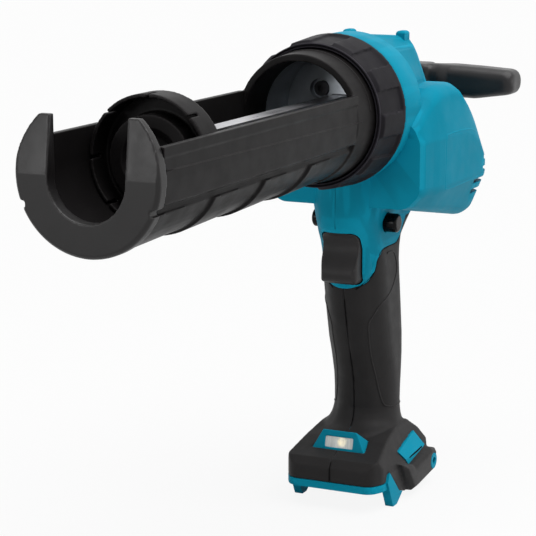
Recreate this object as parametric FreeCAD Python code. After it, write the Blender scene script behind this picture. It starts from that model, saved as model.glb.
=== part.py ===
# Cordless caulking tool: cartridge holder, toothed push rod, gear drive, housing, grip and foot.
# Millimetres. X runs from the nozzle end to the pull handle, Z is up and Y = 0 is the housing split.
# The origin lies under the grip, on the surface that the battery rails stand on.
import FreeCAD
import Part
import math
import os

# General sizes
AXIS_HEIGHT = 196.0          # push rod and holder axis above the rails' bottom
NOSE_PLATE_X = -27.0         # front face of the gear case's bearing plate
OVERRUN = 2.0                # how far a cutting tool passes the face that it cuts
RUNNING_GAP = 0.4            # room between bodies that move past each other
SHAFT_FIT = 0.05             # radial room of a shaft in its bush

# Cartridge holder
CARTRIDGE_DIA = 50.0
CARTRIDGE_CLEARANCE = 1.5
HOLDER_WALL = 2.4
WALL_TOP = 12.2              # wall edge above the axis
RIM_DEPTH = 4.0
RIM_OVERHANG = 0.6
CREASE_DROP = 0.6            # crease of the side panel below the axis
CREASE_BULGE = 0.5
PANEL_DROP = 9.4             # lower edge of the side panel below the axis
PANEL_TUCK = 0.4
GROOVE_LEDGE = 0.8
GROOVE_WALL = 1.2
BELLY_DROP = 13.0            # top edge of the ribbed belly below the axis
BELLY_WALL = 2.4
BELLY_RIBS = 4
RIB_STEP = 1.2
CHANNEL_LENGTH = 183.0       # front plate to rear hoop
HOOP_WALL = 3.2
HOOP_EXPOSED = 17.7          # hoop length in front of the collar
HOOP_FLARE = 1.1
FLANGE_THICKNESS = 3.0

# Front plate of the holder
FRONT_PLATE_THICKNESS = 6.0
FRONT_PLATE_RIM = 0.5        # plate edge outside the belly
NOZZLE_SLOT_WIDTH = 32.6
NOZZLE_SLOT_DROP = 1.0       # slot centre below the axis
HORN_TOP = 22.2              # horn tips above the axis
HORN_LEAN = 3.0              # horn face set back at the tip
FRONT_EDGE_CUT = 1.2
PLATE_NOTCH_DEPTH = 1.4
PLATE_NOTCH_HEIGHT = 2.6

# Collar ring nut
COLLAR_LENGTH = 24.3
COLLAR_FRONT_WALL = 2.2
COLLAR_REAR_WALL = 3.8
COLLAR_LIP = 2.3
COLLAR_PADS = 10
PAD_HEIGHT = 1.2
PAD_INSET = 1.4
COLLAR_REAR_RIM = 3.2
COLLAR_GAP = 1.0             # collar to housing

# Gear case nose
NOSE_WALL = 5.0
NOSE_BORE_STEP = 0.5         # nose bore outside the holder's bore
NOSE_PLATE_THICKNESS = 6.0
NOSE_FLANGE = 1.2            # plate edge outside the nose tube
CASE_SCREW_Y = 10.4
CASE_SCREW_Z = 9.0
CASE_SCREW_WELL_R = 5.0
CASE_SCREW_WELL_DEPTH = 4.0
CASE_SCREW_R = 2.0
CASE_SCREW_HEAD_R = 3.6
CASE_SCREW_HEAD = 2.6
CASE_SCREW_LENGTH = 9.0
HEX_R = 1.6
HEX_DEPTH = 1.4

# Push rod, piston and pull handle
ROD_WIDTH = 8.0
ROD_HEIGHT = 13.0
ROD_LENGTH = 283.5
ROD_PLAY = 0.35              # room round the rod in its guides
RACK_START = 29.0            # first tooth gap behind the rod's front end
RACK_TEETH = 47
PISTON_START = 47.5          # piston behind the front plate's face
PISTON_PLAY = 0.5
PISTON_DEPTH = 14.0
PISTON_WEB = 3.5
PISTON_SKIRT = 1.6
PISTON_BOSS_R = 17.8
PISTON_BOSS_SET = 1.5
PISTON_DISH_R = 12.5
PISTON_DISH_DEPTH = 3.0
PISTON_SLITS = 8
PISTON_SLIT_WIDTH = 1.3
PISTON_SLIT_DEPTH = 7.0
PISTON_SCREW_R = 2.5
PISTON_SCREW_HEAD_R = 5.0
PISTON_SCREW_HEAD = 3.2
PISTON_SCREW_LENGTH = 18.0
HANDLE_HUB_LENGTH = 15.0
HANDLE_HUB_HALF = 9.5        # half width of the hub
HANDLE_HUB_WALL = 2.5        # hub under and over the rod
HANDLE_TOP = 13.6            # upper edge of the handle above the axis
HANDLE_REACH = 55.6          # handle end from the mid plane
HANDLE_ROOT_HEIGHT = 12.0
HANDLE_GRIP_HEIGHT = 16.4
HANDLE_END_HEIGHT = 12.8
HANDLE_ROOT_DEPTH = 12.0
HANDLE_GRIP_DEPTH = 19.0
HANDLE_END_FALL = 1.6        # upper edge lower at the handle's end
HANDLE_ROUNDING = 5.5
HANDLE_END_ROUNDING = 4.0
HANDLE_PIN_R = 2.0

# Rack drive
PRESSURE_ANGLE = math.radians(25.0)
ADDENDUM_SHARE = 0.8
DEDENDUM_SHARE = 1.05
RACK_MODULE = 1.5
RACK_PINION_TEETH = 14
RACK_BACKLASH = 0.12
PINION_X = 5.0
PINION_SHAFT_R = 4.0
BUSH_WALL = 2.0
FINAL_MODULE = 1.0
FINAL_TEETH = 44
OUTPUT_TEETH = 12
FINAL_BACKLASH = 0.10
FINAL_GEAR_WIDTH = 5.5
FINAL_GEAR_GAP = 0.8
FINAL_WEB_SET = 1.5
FINAL_HUB_R = 7.0
FINAL_RIM = 3.0
DRIVE_SLOPE = math.radians(18.0)    # motor axis behind and below the pinion axis
CLUTCH_R = 7.0
CLUTCH_LENGTH = 5.0
CLUTCH_GAP = 0.8
CLUTCH_DOGS = 4
CLUTCH_DOG_WIDTH = 2.4
CLUTCH_DOG_HEIGHT = 1.2

# Gear case body and side plate
CASE_HALF_WIDTH = 11.0
CASE_LENGTH = 36.0
CASE_FLANGE_HALF_WIDTH = 13.0
CASE_FLANGE_LENGTH = 8.0
CASE_FLANGE_HEIGHT = 14.0    # flange edge above and below the axis
CASE_SLOT_PLAY = 0.6         # room beside the rod between the case walls
CASE_TOP = 11.0
CASE_ROOF = 3.0
CASE_BOTTOM = 28.0
SIDE_PLATE_THICKNESS = 1.6
SIDE_PLATE_MARGIN = 3.0

# Motor and planet stages
PLANET_MODULE = 0.6
SUN_TEETH = 12
PLANET_TEETH = 18
PLANETS = 3
PLANET_BACKLASH = 0.08
RING_WALL = 0.9
RING_LENGTH = 16.0
FIRST_STAGE_Y = 1.5          # first gears from the motor's face
FIRST_STAGE_WIDTH = 4.0
SECOND_STAGE_WIDTH = 5.0
STAGE_GAP = 0.4
CARRIER_THICKNESS = 1.4
CARRIER_MARGIN = 1.2
PLANET_PIN_R = 1.2
MOTOR_LENGTH = 29.0
MOTOR_WALL = 1.6
MOTOR_FACE = 2.0
MOTOR_SHAFT_R = 1.6
ARMATURE_GAP = 1.2
ARMATURE_LENGTH = 18.0
ARMATURE_SLOTS = 5
ARMATURE_SLOT_WIDTH = 2.0
ARMATURE_SLOT_DEPTH = 6.0
MOTOR_CAP_LENGTH = 2.0
FAN_GAP = 0.8
FAN_WIDTH = 4.0
FAN_R = 13.5
FAN_DISC = 1.0
FAN_HUB_R = 4.0
FAN_BLADES = 9
FAN_BLADE = 1.0

# Housing
HOUSING_WALL = 2.4
COVER = 1.8                  # thickness of the soft grip cover
HOUSING_FRONT_WALL = 6.0
DRUM_R = 35.6
DRUM_LENGTH = 21.0
DRUM_EDGE_CUT = 1.5
TOWER_SETBACK = 7.5          # tower behind the housing front
TOWER_LENGTH = 58.0
TOWER_TOP = 31.6             # tower ridge above the axis, at its rear
TOWER_REAR_LEAN = 4.0
TOWER_ROUNDING = 5.0
EAR_X = 18.0
EAR_Y = 14.0
EAR_LENGTH = 6.6
EAR_WIDTH = 4.6
EAR_HEIGHT = 2.6
EAR_ROUNDING = 1.6
BLOCK_SETBACK = 3.0          # motor block behind the bearing plate's face
BLOCK_LENGTH = 89.5
BLOCK_STEPS = 2              # sections per station of the block
BLOCK_HALF_WIDTH = 44.0
BLOCK_TOP = 9.5
BLOCK_BOTTOM = 60.0
SIDE_TOP = 15.0              # upper edge of the flat side below the axis
SIDE_BOTTOM = 39.7           # lower edge of the flat side below the axis
BLOCK_ROUNDING = 8.0
VENT_PITCH = 5.4
VENT_HEIGHT = 2.4
VENT_LENGTH = 21.5           # longest vent, from the block's rear
VENT_TOP = 30.3              # upper vent below the axis
HOUSING_SCREW_R = 1.5
HOUSING_SCREW_HEAD_R = 3.2
HOUSING_SCREW_HEAD = 2.2
HOUSING_SCREW_LENGTH = 18.0
HOUSING_BOSS_R = 5.0
HOUSING_WELL_PLAY = 0.4      # room round a screw head in its well

# Grip and foot
GRIP_TOP = 30.0              # grip's first station below the axis
GRIP_LENGTH = 140.0
GRIP_DEPTH = 46.0
GRIP_HALF_WIDTH = 16.5
GRIP_X = 2.0                 # middle of the grip at its waist
GRIP_STEPS = 2               # sections per station of the grip
FOOT_FRONT_X = -37.0
FOOT_LENGTH = 70.0
FOOT_HALF_WIDTH = 26.5
FOOT_FLOOR = 10.4            # foot's underside above the rails' bottom
FOOT_STRIP = 3.6             # bare strip under the soft cover
FOOT_HEIGHT = 24.6
FOOT_KNEE = 9.0              # upright part of the foot's sides
FOOT_TOP_HALF_WIDTH = 19.5   # sides lean in to this at the top
FOOT_CORNER = 7.0
RAIL_WIDTH = 4.2
RAIL_LIP = 2.5
RAIL_LIP_HEIGHT = 2.6
RAIL_FRONT = 18.4            # rail's tread behind the foot's front
RAIL_RAKE = 7.4              # rail front leans forward over its tread
RAIL_TREAD = 5.0             # lowest part of the rail
RAIL_RUN = 8.5               # length of the slope behind the tread
RAIL_RISE = 5.0              # rail's underside behind that slope
RAIL_LENGTH = 50.0
RAIL_PANEL_APEX = 13.3       # apex of the rail's bare side, behind the foot's front
RAIL_PANEL_RISE = 4.8        # its apex over the cover's lower edge
RAIL_PANEL_BACK = 5.0        # its rear end behind the apex
HOOK_BLOCK_LENGTH = 47.0
HOOK_BLOCK_HEIGHT = 17.0
HOOK_BLOCK_DEPTH = 4.4
HOOK_BLOCK_LOW = 3.4         # block's underside above the rails' bottom
HOOK_BLOCK_CUT = 2.0
HOOK_BLOCK_SETBACK = 6.0     # insert's middle in front of the foot's rear
HOOK_INSERT_RISE = 8.0       # insert's middle above the block's underside
HOOK_INSERT_R = 4.0
HOOK_THREAD_R = 2.0
SIDE_PANEL_LENGTH = 26.0
SIDE_PANEL_HEIGHT = 8.6
SIDE_PANEL_REAR = 9.0        # panel's lower rear corner in front of the foot's rear
SIDE_PANEL_LOW = 20.4        # panel's lower rear corner above the rails' bottom
SIDE_PANEL_PROUD = 0.4

# Controls, lamp and terminals
TRIGGER_HALF_WIDTH = 9.4
TRIGGER_HEIGHT = 25.4
TRIGGER_TOP = 60.0           # trigger's upper edge below the axis
TRIGGER_FRONT_X = -28.0
TRIGGER_DEPTH = 21.0
TRIGGER_HOLLOW = 1.6
TRIGGER_TRAVEL = 7.0
TRIGGER_ROUNDING = 4.0
TRIGGER_CORNER = 3.0
TRIGGER_GAP = 0.6
TRIGGER_CREST = 8.0          # full height of the trigger behind its front
TRIGGER_STEP = 4.6           # lower behind that, under the lock button
SURROUND_WALL = 2.6          # lip of the housing round the trigger
SURROUND_FRONT_X = -23.5
SURROUND_CORNER = 9.5
SURROUND_EDGE = 8.0
PLUNGER_R = 2.5
PLUNGER_LENGTH = 11.0
SWITCH_LENGTH = 14.0
SWITCH_HALF_WIDTH = 8.0
SWITCH_HEIGHT = 22.0
SWITCH_GAP = 1.0             # trigger's back to switch body, past its travel
LOCK_X = -5.0
LOCK_DROP = 57.0             # lock-off button below the axis
LOCK_R = 4.6
LOCK_REACH = 22.3            # button end from the mid plane
LOCK_TRAVEL = 3.0
LOCK_END_CUT = 0.8
LOCK_COLLAR_R = 6.4
LOCK_COLLAR_HALF = 4.0
LAMP_FRONT_X = -26.8         # lower edge of the lamp's face
LAMP_LOW = 24.3              # the same edge above the rails' bottom, inside the foot
LAMP_HEIGHT = 12.7
LAMP_LEAN = 2.8              # face set back at the top
LAMP_DEPTH = 13.8
LAMP_REAR_RISE = 4.6         # rear edge above the face's lower edge
LAMP_HALF_WIDTH = 15.5
LAMP_TOP_HALF_WIDTH = 8.8
LAMP_REAR_HALF_WIDTH = 12.6
LAMP_WINDOW_RISE = 6.9       # middle of the window above the face's lower edge
LAMP_WINDOW_HALF_LENGTH = 2.7
LAMP_WINDOW_HALF_WIDTH = 7.3
LAMP_POCKET = 5.0            # depth of the pocket behind the window
LAMP_LENS_SET = 0.4          # lens behind the face
LAMP_LENS_THICKNESS = 1.2
LAMP_BOARD_THICKNESS = 1.4
LED_SIZE = 2.4
LED_HEIGHT = 0.9
TERMINAL_LENGTH = 26.0
TERMINAL_HALF_WIDTH = 14.0
TERMINAL_HEIGHT = 5.0
BLADE_Y = 8.0
BLADE_THICKNESS = 0.8
BLADE_LENGTH = 12.0
BLADE_DROP = 5.0

# Shares: station tables of the lofted shapes, as shares of the sizes above
BLOCK_STATION_SHARES = [        # along, width, rise over the side, drop under it, fall of its upper edge
    (0.0, 0.90, 0.37, 0.36, 0.0),
    (0.045, 0.935, 0.50, 0.385, 0.0),
    (0.132, 0.958, 0.70, 0.46, 0.0),
    (0.26, 0.995, 0.96, 0.56, 0.0),
    (0.354, 1.0, 1.0, 0.64, 0.0),
    (0.552, 1.0, 0.99, 0.80, 0.0),
    (0.703, 1.0, 0.71, 0.92, 0.12),
    (0.774, 1.0, 0.50, 0.98, 0.22),
    (0.831, 1.0, 0.28, 1.02, 0.34),
    (0.894, 1.0, -0.02, 1.0, 0.54),
    (0.944, 0.985, -0.28, 0.84, 0.68),
    (0.978, 0.95, -0.48, 0.56, 0.78),
    (1.0, 0.88, -0.62, 0.30, 0.83),
]
BLOCK_TOP_CUT_SHARE = 0.10
BLOCK_BOTTOM_CUT_SHARE = 0.18
TOWER_FRONT_SHARES = [(0.16, 0.985), (0.60, 0.79), (0.92, 0.38), (0.99, -0.10)]
TOWER_REAR_SHARES = [(0.42, 1.0), (0.53, 0.84), (0.67, 0.35), (0.80, -0.30)]
GRIP_STATION_SHARES = [         # down the grip, middle, depth, half width
    (0.0, 0.152, 1.78, 1.08),
    (0.114, 0.152, 1.78, 1.08),
    (0.186, 0.065, 1.61, 0.95),
    (0.258, -0.04, 1.18, 0.95),
    (0.342, -0.03, 1.03, 0.97),
    (0.422, 0.0, 1.0, 0.99),
    (0.620, 0.114, 0.924, 1.0),
    (0.763, 0.184, 0.765, 1.0),
    (0.871, 0.180, 0.705, 1.0),
    (0.911, 0.158, 0.74, 1.05),
    (0.932, 0.128, 0.80, 1.11),
    (0.954, 0.068, 0.92, 1.18),
    (1.0, 0.068, 0.92, 1.18),
]
ROUND_ROOM_SHARE = 0.48         # part of a side that a corner's rounding may take
COLLAR_PHASE_SHARE = 0.66       # first pad's turn, in pad spacings
TRIGGER_REAR_ROUND_SHARE = 0.01
HANDLE_STATION_SHARES = (0.12, 0.26, 0.38, 0.62)
HANDLE_CURL_SHARES = [          # along the end, drawn in
    (0.0, 0.0), (0.5, 0.13), (0.8, 0.4), (0.95, 0.69), (1.0, 1.0),
]
GRIP_FRONT_FLAT_SHARE = 0.40
GRIP_REAR_FLAT_SHARE = 0.45
GRIP_FRONT_SLOPE_SHARE = 0.26
GRIP_REAR_SLOPE_SHARE = 0.20
COVER_EDGE_SHARES = [           # along the grip's depth, down its length
    (0.80, 0.193),
    (0.42, 0.196),
    (0.357, 0.219),
    (0.246, 0.26),
    (0.137, 0.279),
    (-0.085, 0.281),
    (-0.25, 0.283),
    (-0.32, 0.311),
    (-0.348, 0.357),
    (-0.43, 0.392),
    (-0.52, 0.421),
    (-1.2, 0.421),
]
FOOT_PROFILE_SHARES = [         # along the foot, up from its floor
    (0.0, 0.0),
    (0.0, 0.45),
    (0.04, 0.60),
    (0.30, 0.84),
    (0.50, 0.965),
    (0.77, 1.0),
    (0.90, 0.74),
    (1.0, 0.34),
    (1.0, 0.0),
]
FOOT_PLAN_SHARES = [(0.0, 0.80), (0.10, 0.95), (0.40, 1.0), (1.0, 1.0)]
HOOK_BLOCK_SHARES = [           # along the block, up its height
    (0.0, 1.0),
    (0.28, 0.0),
    (0.42, 0.0),
    (0.96, 0.14),
    (1.0, 0.78),
    (0.83, 0.92),
    (0.33, 0.76),
]
HOOK_PLATE_SHARES = [           # along the block, up its height
    (-0.206, 0.906),
    (0.07, 0.16),
    (0.13, 0.10),
    (0.24, 0.0),
    (0.96, 0.14),
    (1.0, 0.78),
    (0.83, 0.92),
    (0.33, 0.76),
]
SIDE_PANEL_SHARES = [(0.0, 0.0), (-0.9, -0.48), (-1.22, 0.48), (-0.23, 0.97)]
HOUSING_SCREW_SHARES = [(0.719, 0.745), (0.224, 0.775), (0.360, 1.112), (0.380, 0.235)]
VENT_LENGTH_SHARES = (0.40, 0.46, 1.0, 0.92)

# Derived places
HOLDER_R = CARTRIDGE_DIA / 2 + CARTRIDGE_CLEARANCE
NOSE_BORE = HOLDER_R + NOSE_BORE_STEP
NOSE_R = NOSE_BORE + NOSE_WALL
COLLAR_REAR_X = NOSE_PLATE_X - HOUSING_FRONT_WALL - COLLAR_GAP
COLLAR_FRONT_X = COLLAR_REAR_X - COLLAR_LENGTH
HOOP_FRONT_X = COLLAR_FRONT_X - HOOP_EXPOSED
CHANNEL_FRONT_X = HOOP_FRONT_X - CHANNEL_LENGTH
HOLDER_FRONT_X = CHANNEL_FRONT_X - FRONT_PLATE_THICKNESS
FLANGE_FRONT_X = COLLAR_FRONT_X + COLLAR_LIP + RUNNING_GAP
NOSE_FRONT_X = FLANGE_FRONT_X + FLANGE_THICKNESS
NOSE_PLATE_REAR_X = NOSE_PLATE_X + NOSE_PLATE_THICKNESS
CASE_REAR_X = NOSE_PLATE_REAR_X + CASE_LENGTH
PISTON_FRONT_X = HOLDER_FRONT_X + PISTON_START
ROD_FRONT_X = PISTON_FRONT_X + PISTON_DEPTH
ROD_REAR_X = ROD_FRONT_X + ROD_LENGTH
RACK_PITCH = math.pi * RACK_MODULE
RACK_PINION_R = RACK_MODULE * RACK_PINION_TEETH / 2
RACK_LINE_Z = AXIS_HEIGHT - ROD_HEIGHT / 2 + RACK_MODULE * ADDENDUM_SHARE
PINION_Z = RACK_LINE_Z - RACK_PINION_R
FINAL_R = FINAL_MODULE * FINAL_TEETH / 2
OUTPUT_R = FINAL_MODULE * OUTPUT_TEETH / 2
MOTOR_X = PINION_X + (FINAL_R + OUTPUT_R) * math.cos(DRIVE_SLOPE)
MOTOR_Z = PINION_Z - (FINAL_R + OUTPUT_R) * math.sin(DRIVE_SLOPE)
RING_TEETH = SUN_TEETH + 2 * PLANET_TEETH
RING_R = PLANET_MODULE * RING_TEETH / 2
PLANET_R = PLANET_MODULE * PLANET_TEETH / 2
PLANET_ORBIT = PLANET_MODULE * (SUN_TEETH + PLANET_TEETH) / 2
MOTOR_R = RING_R + PLANET_MODULE * DEDENDUM_SHARE + RING_WALL
RING_FRONT_Y = CASE_HALF_WIDTH - RING_LENGTH
MOTOR_FRONT_Y = RING_FRONT_Y - MOTOR_LENGTH
FIRST_STAGE_START = RING_FRONT_Y + FIRST_STAGE_Y
FIRST_CARRIER_Y = FIRST_STAGE_START + FIRST_STAGE_WIDTH + STAGE_GAP
SECOND_STAGE_START = FIRST_CARRIER_Y + CARRIER_THICKNESS + STAGE_GAP
SECOND_CARRIER_Y = SECOND_STAGE_START + SECOND_STAGE_WIDTH + STAGE_GAP
SIDE_PLATE_Y = CASE_HALF_WIDTH + SIDE_PLATE_THICKNESS
FINAL_GEAR_Y = SIDE_PLATE_Y + FINAL_GEAR_GAP
FINAL_GEAR_END_Y = FINAL_GEAR_Y + FINAL_GEAR_WIDTH
CLUTCH_Y = FINAL_GEAR_END_Y + CLUTCH_GAP + CLUTCH_DOG_HEIGHT
CLUTCH_END_Y = CLUTCH_Y + CLUTCH_LENGTH
BUSH_R = PINION_SHAFT_R + SHAFT_FIT + BUSH_WALL
CASE_SLOT_HALF = ROD_WIDTH / 2 + CASE_SLOT_PLAY
HOUSING_FRONT_X = NOSE_PLATE_X - HOUSING_FRONT_WALL
BLOCK_FRONT_X = NOSE_PLATE_X + BLOCK_SETBACK
BLOCK_REAR_X = BLOCK_FRONT_X + BLOCK_LENGTH
GRIP_TOP_Z = AXIS_HEIGHT - GRIP_TOP
FOOT_REAR_X = FOOT_FRONT_X + FOOT_LENGTH
FOOT_COVER_Z = FOOT_FLOOR + FOOT_STRIP
TRIGGER_TOP_Z = AXIS_HEIGHT - TRIGGER_TOP
TRIGGER_BOTTOM_Z = TRIGGER_TOP_Z - TRIGGER_HEIGHT
TRIGGER_REAR_X = TRIGGER_FRONT_X + TRIGGER_DEPTH
PLUNGER_Z = TRIGGER_TOP_Z - TRIGGER_HEIGHT / 2
SWITCH_FRONT_X = TRIGGER_REAR_X + TRIGGER_TRAVEL + SWITCH_GAP
LOCK_Z = AXIS_HEIGHT - LOCK_DROP
LAMP_TILT = math.degrees(math.atan2(LAMP_HEIGHT, LAMP_LEAN))
LAMP_X = LAMP_FRONT_X + LAMP_LEAN * LAMP_WINDOW_RISE / LAMP_HEIGHT
LAMP_Z = LAMP_LOW + LAMP_WINDOW_RISE
X_AXIS = FreeCAD.Vector(1, 0, 0)
Y_AXIS = FreeCAD.Vector(0, 1, 0)
Z_AXIS = FreeCAD.Vector(0, 0, 1)
ORIGIN = FreeCAD.Vector(0, 0, 0)


# Shape helpers
def vec(x, y, z):
    return FreeCAD.Vector(x, y, z)


def box(x0, x1, y0, y1, z0, z1):
    return Part.makeBox(x1 - x0, y1 - y0, z1 - z0, vec(x0, y0, z0))


def bar(half_width, x0, x1, z0, z1):
    """A box centred on the mid plane."""
    return box(x0, x1, -half_width, half_width, z0, z1)


def disc_x(radius, x0, x1, y=0.0, z=AXIS_HEIGHT):
    return Part.makeCylinder(radius, x1 - x0, vec(x0, y, z), X_AXIS)


def disc_y(radius, y0, y1, x, z):
    return Part.makeCylinder(radius, y1 - y0, vec(x, y0, z), Y_AXIS)


def polygon_face(points):
    return Part.Face(Part.makePolygon(points + [points[0]]))


def prism_x(points, x0, x1):
    """Extrude a (y, height over the axis) outline along X."""
    return polygon_face([vec(x0, y, AXIS_HEIGHT + z) for y, z in points]).extrude(vec(x1 - x0, 0, 0))


def prism_y(points, y0, y1):
    """Extrude an (x, z) outline along Y."""
    return polygon_face([vec(x, y0, z) for x, z in points]).extrude(vec(0, y1 - y0, 0))


def prism_z(points, z0, z1):
    """Extrude an (x, y) outline along Z."""
    return polygon_face([vec(x, y, z0) for x, y in points]).extrude(vec(0, 0, z1 - z0))


def turned(points):
    """Revolve an (x, radius) outline about the rod axis."""
    face = polygon_face([vec(x, 0, AXIS_HEIGHT + r) for x, r in points])
    return face.revolve(vec(0, 0, AXIS_HEIGHT), X_AXIS, 360)


def fuse(shapes):
    whole = shapes[0].multiFuse(shapes[1:]) if len(shapes) > 1 else shapes[0]
    return whole.removeSplitter()


def cut(shape, tools):
    return shape.cut(tools)


def mirrored(shape):
    return shape.mirror(ORIGIN, Y_AXIS)


def rounded_wire(points, radii):
    """A closed wire through the points with each corner rounded."""
    count = len(points)
    edges = []
    arcs = []
    for i in range(count):
        corner = points[i]
        back = points[i - 1] - corner
        ahead = points[(i + 1) % count] - corner
        room = min(back.Length, ahead.Length) * ROUND_ROOM_SHARE
        half = back.getAngle(ahead) / 2
        reach = min(radii[i] / math.tan(half), room)
        back.normalize()
        ahead.normalize()
        start = corner + back * reach
        end = corner + ahead * reach
        middle_way = (back + ahead).normalize()
        to_centre = reach / math.cos(half)
        radius = reach * math.tan(half)
        arcs.append((start, corner + middle_way * (to_centre - radius), end))
    for i in range(count):
        start, middle, end = arcs[i]
        edges.append(Part.Arc(start, middle, end).toShape())
        edges.append(Part.LineSegment(end, arcs[(i + 1) % count][0]).toShape())
    return Part.Wire(edges)


def mirror_outline(points):
    """Close a half outline, given from top to bottom at y > 0, over the mid plane."""
    return points + [(-y, z) for y, z in reversed(points)]


# Gears are drawn in a plane whose first axis is X and whose second points down, then laid along Y
def polar(radius, angle):
    return vec(radius * math.cos(angle), radius * math.sin(angle), 0)


def involute(angle):
    return math.tan(angle) - angle


def gear_wire(teeth, module, phase, tip, root, backlash):
    pitch_r = module * teeth / 2
    base_r = pitch_r * math.cos(PRESSURE_ANGLE)
    half_pitch_angle = (math.pi * module / 2 - backlash) / (2 * pitch_r)

    def half_angle(radius):
        local = math.acos(min(1.0, base_r / radius))
        return half_pitch_angle + involute(PRESSURE_ANGLE) - involute(local)

    foot = max(root, base_r)
    middle = (foot + tip) / 2
    edges = []
    for k in range(teeth):
        centre = phase + 2 * math.pi * k / teeth
        following = centre + 2 * math.pi / teeth
        rise = [polar(r, centre - half_angle(r)) for r in (foot, middle, tip)]
        fall = [polar(r, centre + half_angle(r)) for r in (tip, middle, foot)]
        low_start = polar(root, centre - half_angle(foot))
        low_end = polar(root, centre + half_angle(foot))
        low_next = polar(root, following - half_angle(foot))
        if root < base_r:
            edges.append(Part.LineSegment(low_start, rise[0]).toShape())
        edges.append(Part.Arc(*rise).toShape())
        edges.append(Part.LineSegment(rise[2], fall[0]).toShape())
        edges.append(Part.Arc(*fall).toShape())
        if root < base_r:
            edges.append(Part.LineSegment(fall[2], low_end).toShape())
        edges.append(Part.LineSegment(low_end, low_next).toShape())
    return Part.Wire(edges)


def lay_along_y(shape, x, y, z):
    shape.rotate(ORIGIN, X_AXIS, -90)
    shape.translate(vec(x, y, z))
    return shape


def gear(teeth, module, phase, width, backlash, place):
    """An external spur gear whose axis runs along Y from the place given."""
    pitch_r = module * teeth / 2
    tip = pitch_r + module * ADDENDUM_SHARE
    root = pitch_r - module * DEDENDUM_SHARE
    wire = gear_wire(teeth, module, phase, tip, root, backlash)
    return lay_along_y(Part.Face(wire).extrude(vec(0, 0, width)), *place)


def mesh_phase(teeth, phase, other_teeth, direction):
    """Phase of a gear that meshes with another one, found in that direction from it."""
    turn = (direction - phase) * teeth / (2 * math.pi)
    return direction + math.pi - (0.5 - turn) * 2 * math.pi / other_teeth


def ring_phase(planet_phase, direction):
    turn = (direction - planet_phase) * PLANET_TEETH / (2 * math.pi) - 0.5
    return direction - turn * 2 * math.pi / RING_TEETH


# Cartridge holder
def holder_section():
    """Half outline of the channel wall from its top edge down to the belly, as (y, z)."""
    panel = HOLDER_R + HOLDER_WALL
    ledge = PANEL_DROP + GROOVE_LEDGE
    groove_y = math.sqrt(HOLDER_R ** 2 - ledge ** 2) + GROOVE_WALL
    belly_y = math.sqrt((HOLDER_R + BELLY_WALL) ** 2 - BELLY_DROP ** 2)
    return [
        (panel + RIM_OVERHANG, WALL_TOP),
        (panel + RIM_OVERHANG, WALL_TOP - RIM_DEPTH),
        (panel, WALL_TOP - RIM_DEPTH),
        (panel + CREASE_BULGE, -CREASE_DROP),
        (panel - PANEL_TUCK, -PANEL_DROP),
        (groove_y, -ledge),
        (belly_y, -BELLY_DROP),
    ]


def belly():
    """The ribbed underside: each rib starts with a step that faces the nozzle and tapers back."""
    radius = HOLDER_R + BELLY_WALL
    pitch = CHANNEL_LENGTH / BELLY_RIBS
    outline = [(CHANNEL_FRONT_X, 0.0)]
    for i in range(BELLY_RIBS):
        outline.append((CHANNEL_FRONT_X + i * pitch, radius + RIB_STEP))
        outline.append((CHANNEL_FRONT_X + (i + 1) * pitch, radius))
    outline.append((HOOP_FRONT_X, 0.0))
    low = bar(2 * HOLDER_R, CHANNEL_FRONT_X, HOOP_FRONT_X, 0.0, AXIS_HEIGHT - BELLY_DROP)
    return turned(outline).common(low)


def channel_space(x0, x1):
    upright = bar(HOLDER_R, x0, x1, AXIS_HEIGHT, AXIS_HEIGHT + 2 * HOLDER_R)
    return fuse([disc_x(HOLDER_R, x0, x1), upright])


def holder_channel():
    walls = prism_x(mirror_outline(holder_section()), CHANNEL_FRONT_X, HOOP_FRONT_X)
    hoop_r = HOLDER_R + HOOP_WALL
    hoop = turned([
        (HOOP_FRONT_X, 0.0),
        (HOOP_FRONT_X, hoop_r),
        (FLANGE_FRONT_X, hoop_r + HOOP_FLARE),
        (FLANGE_FRONT_X, NOSE_R),
        (NOSE_FRONT_X, NOSE_R),
        (NOSE_FRONT_X, 0.0),
    ])
    bore = disc_x(HOLDER_R, HOOP_FRONT_X - OVERRUN, NOSE_FRONT_X + OVERRUN)
    channel = fuse([walls, belly()]).cut(channel_space(CHANNEL_FRONT_X - OVERRUN, HOOP_FRONT_X + OVERRUN))
    return fuse([channel, hoop.cut(bore)])


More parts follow.
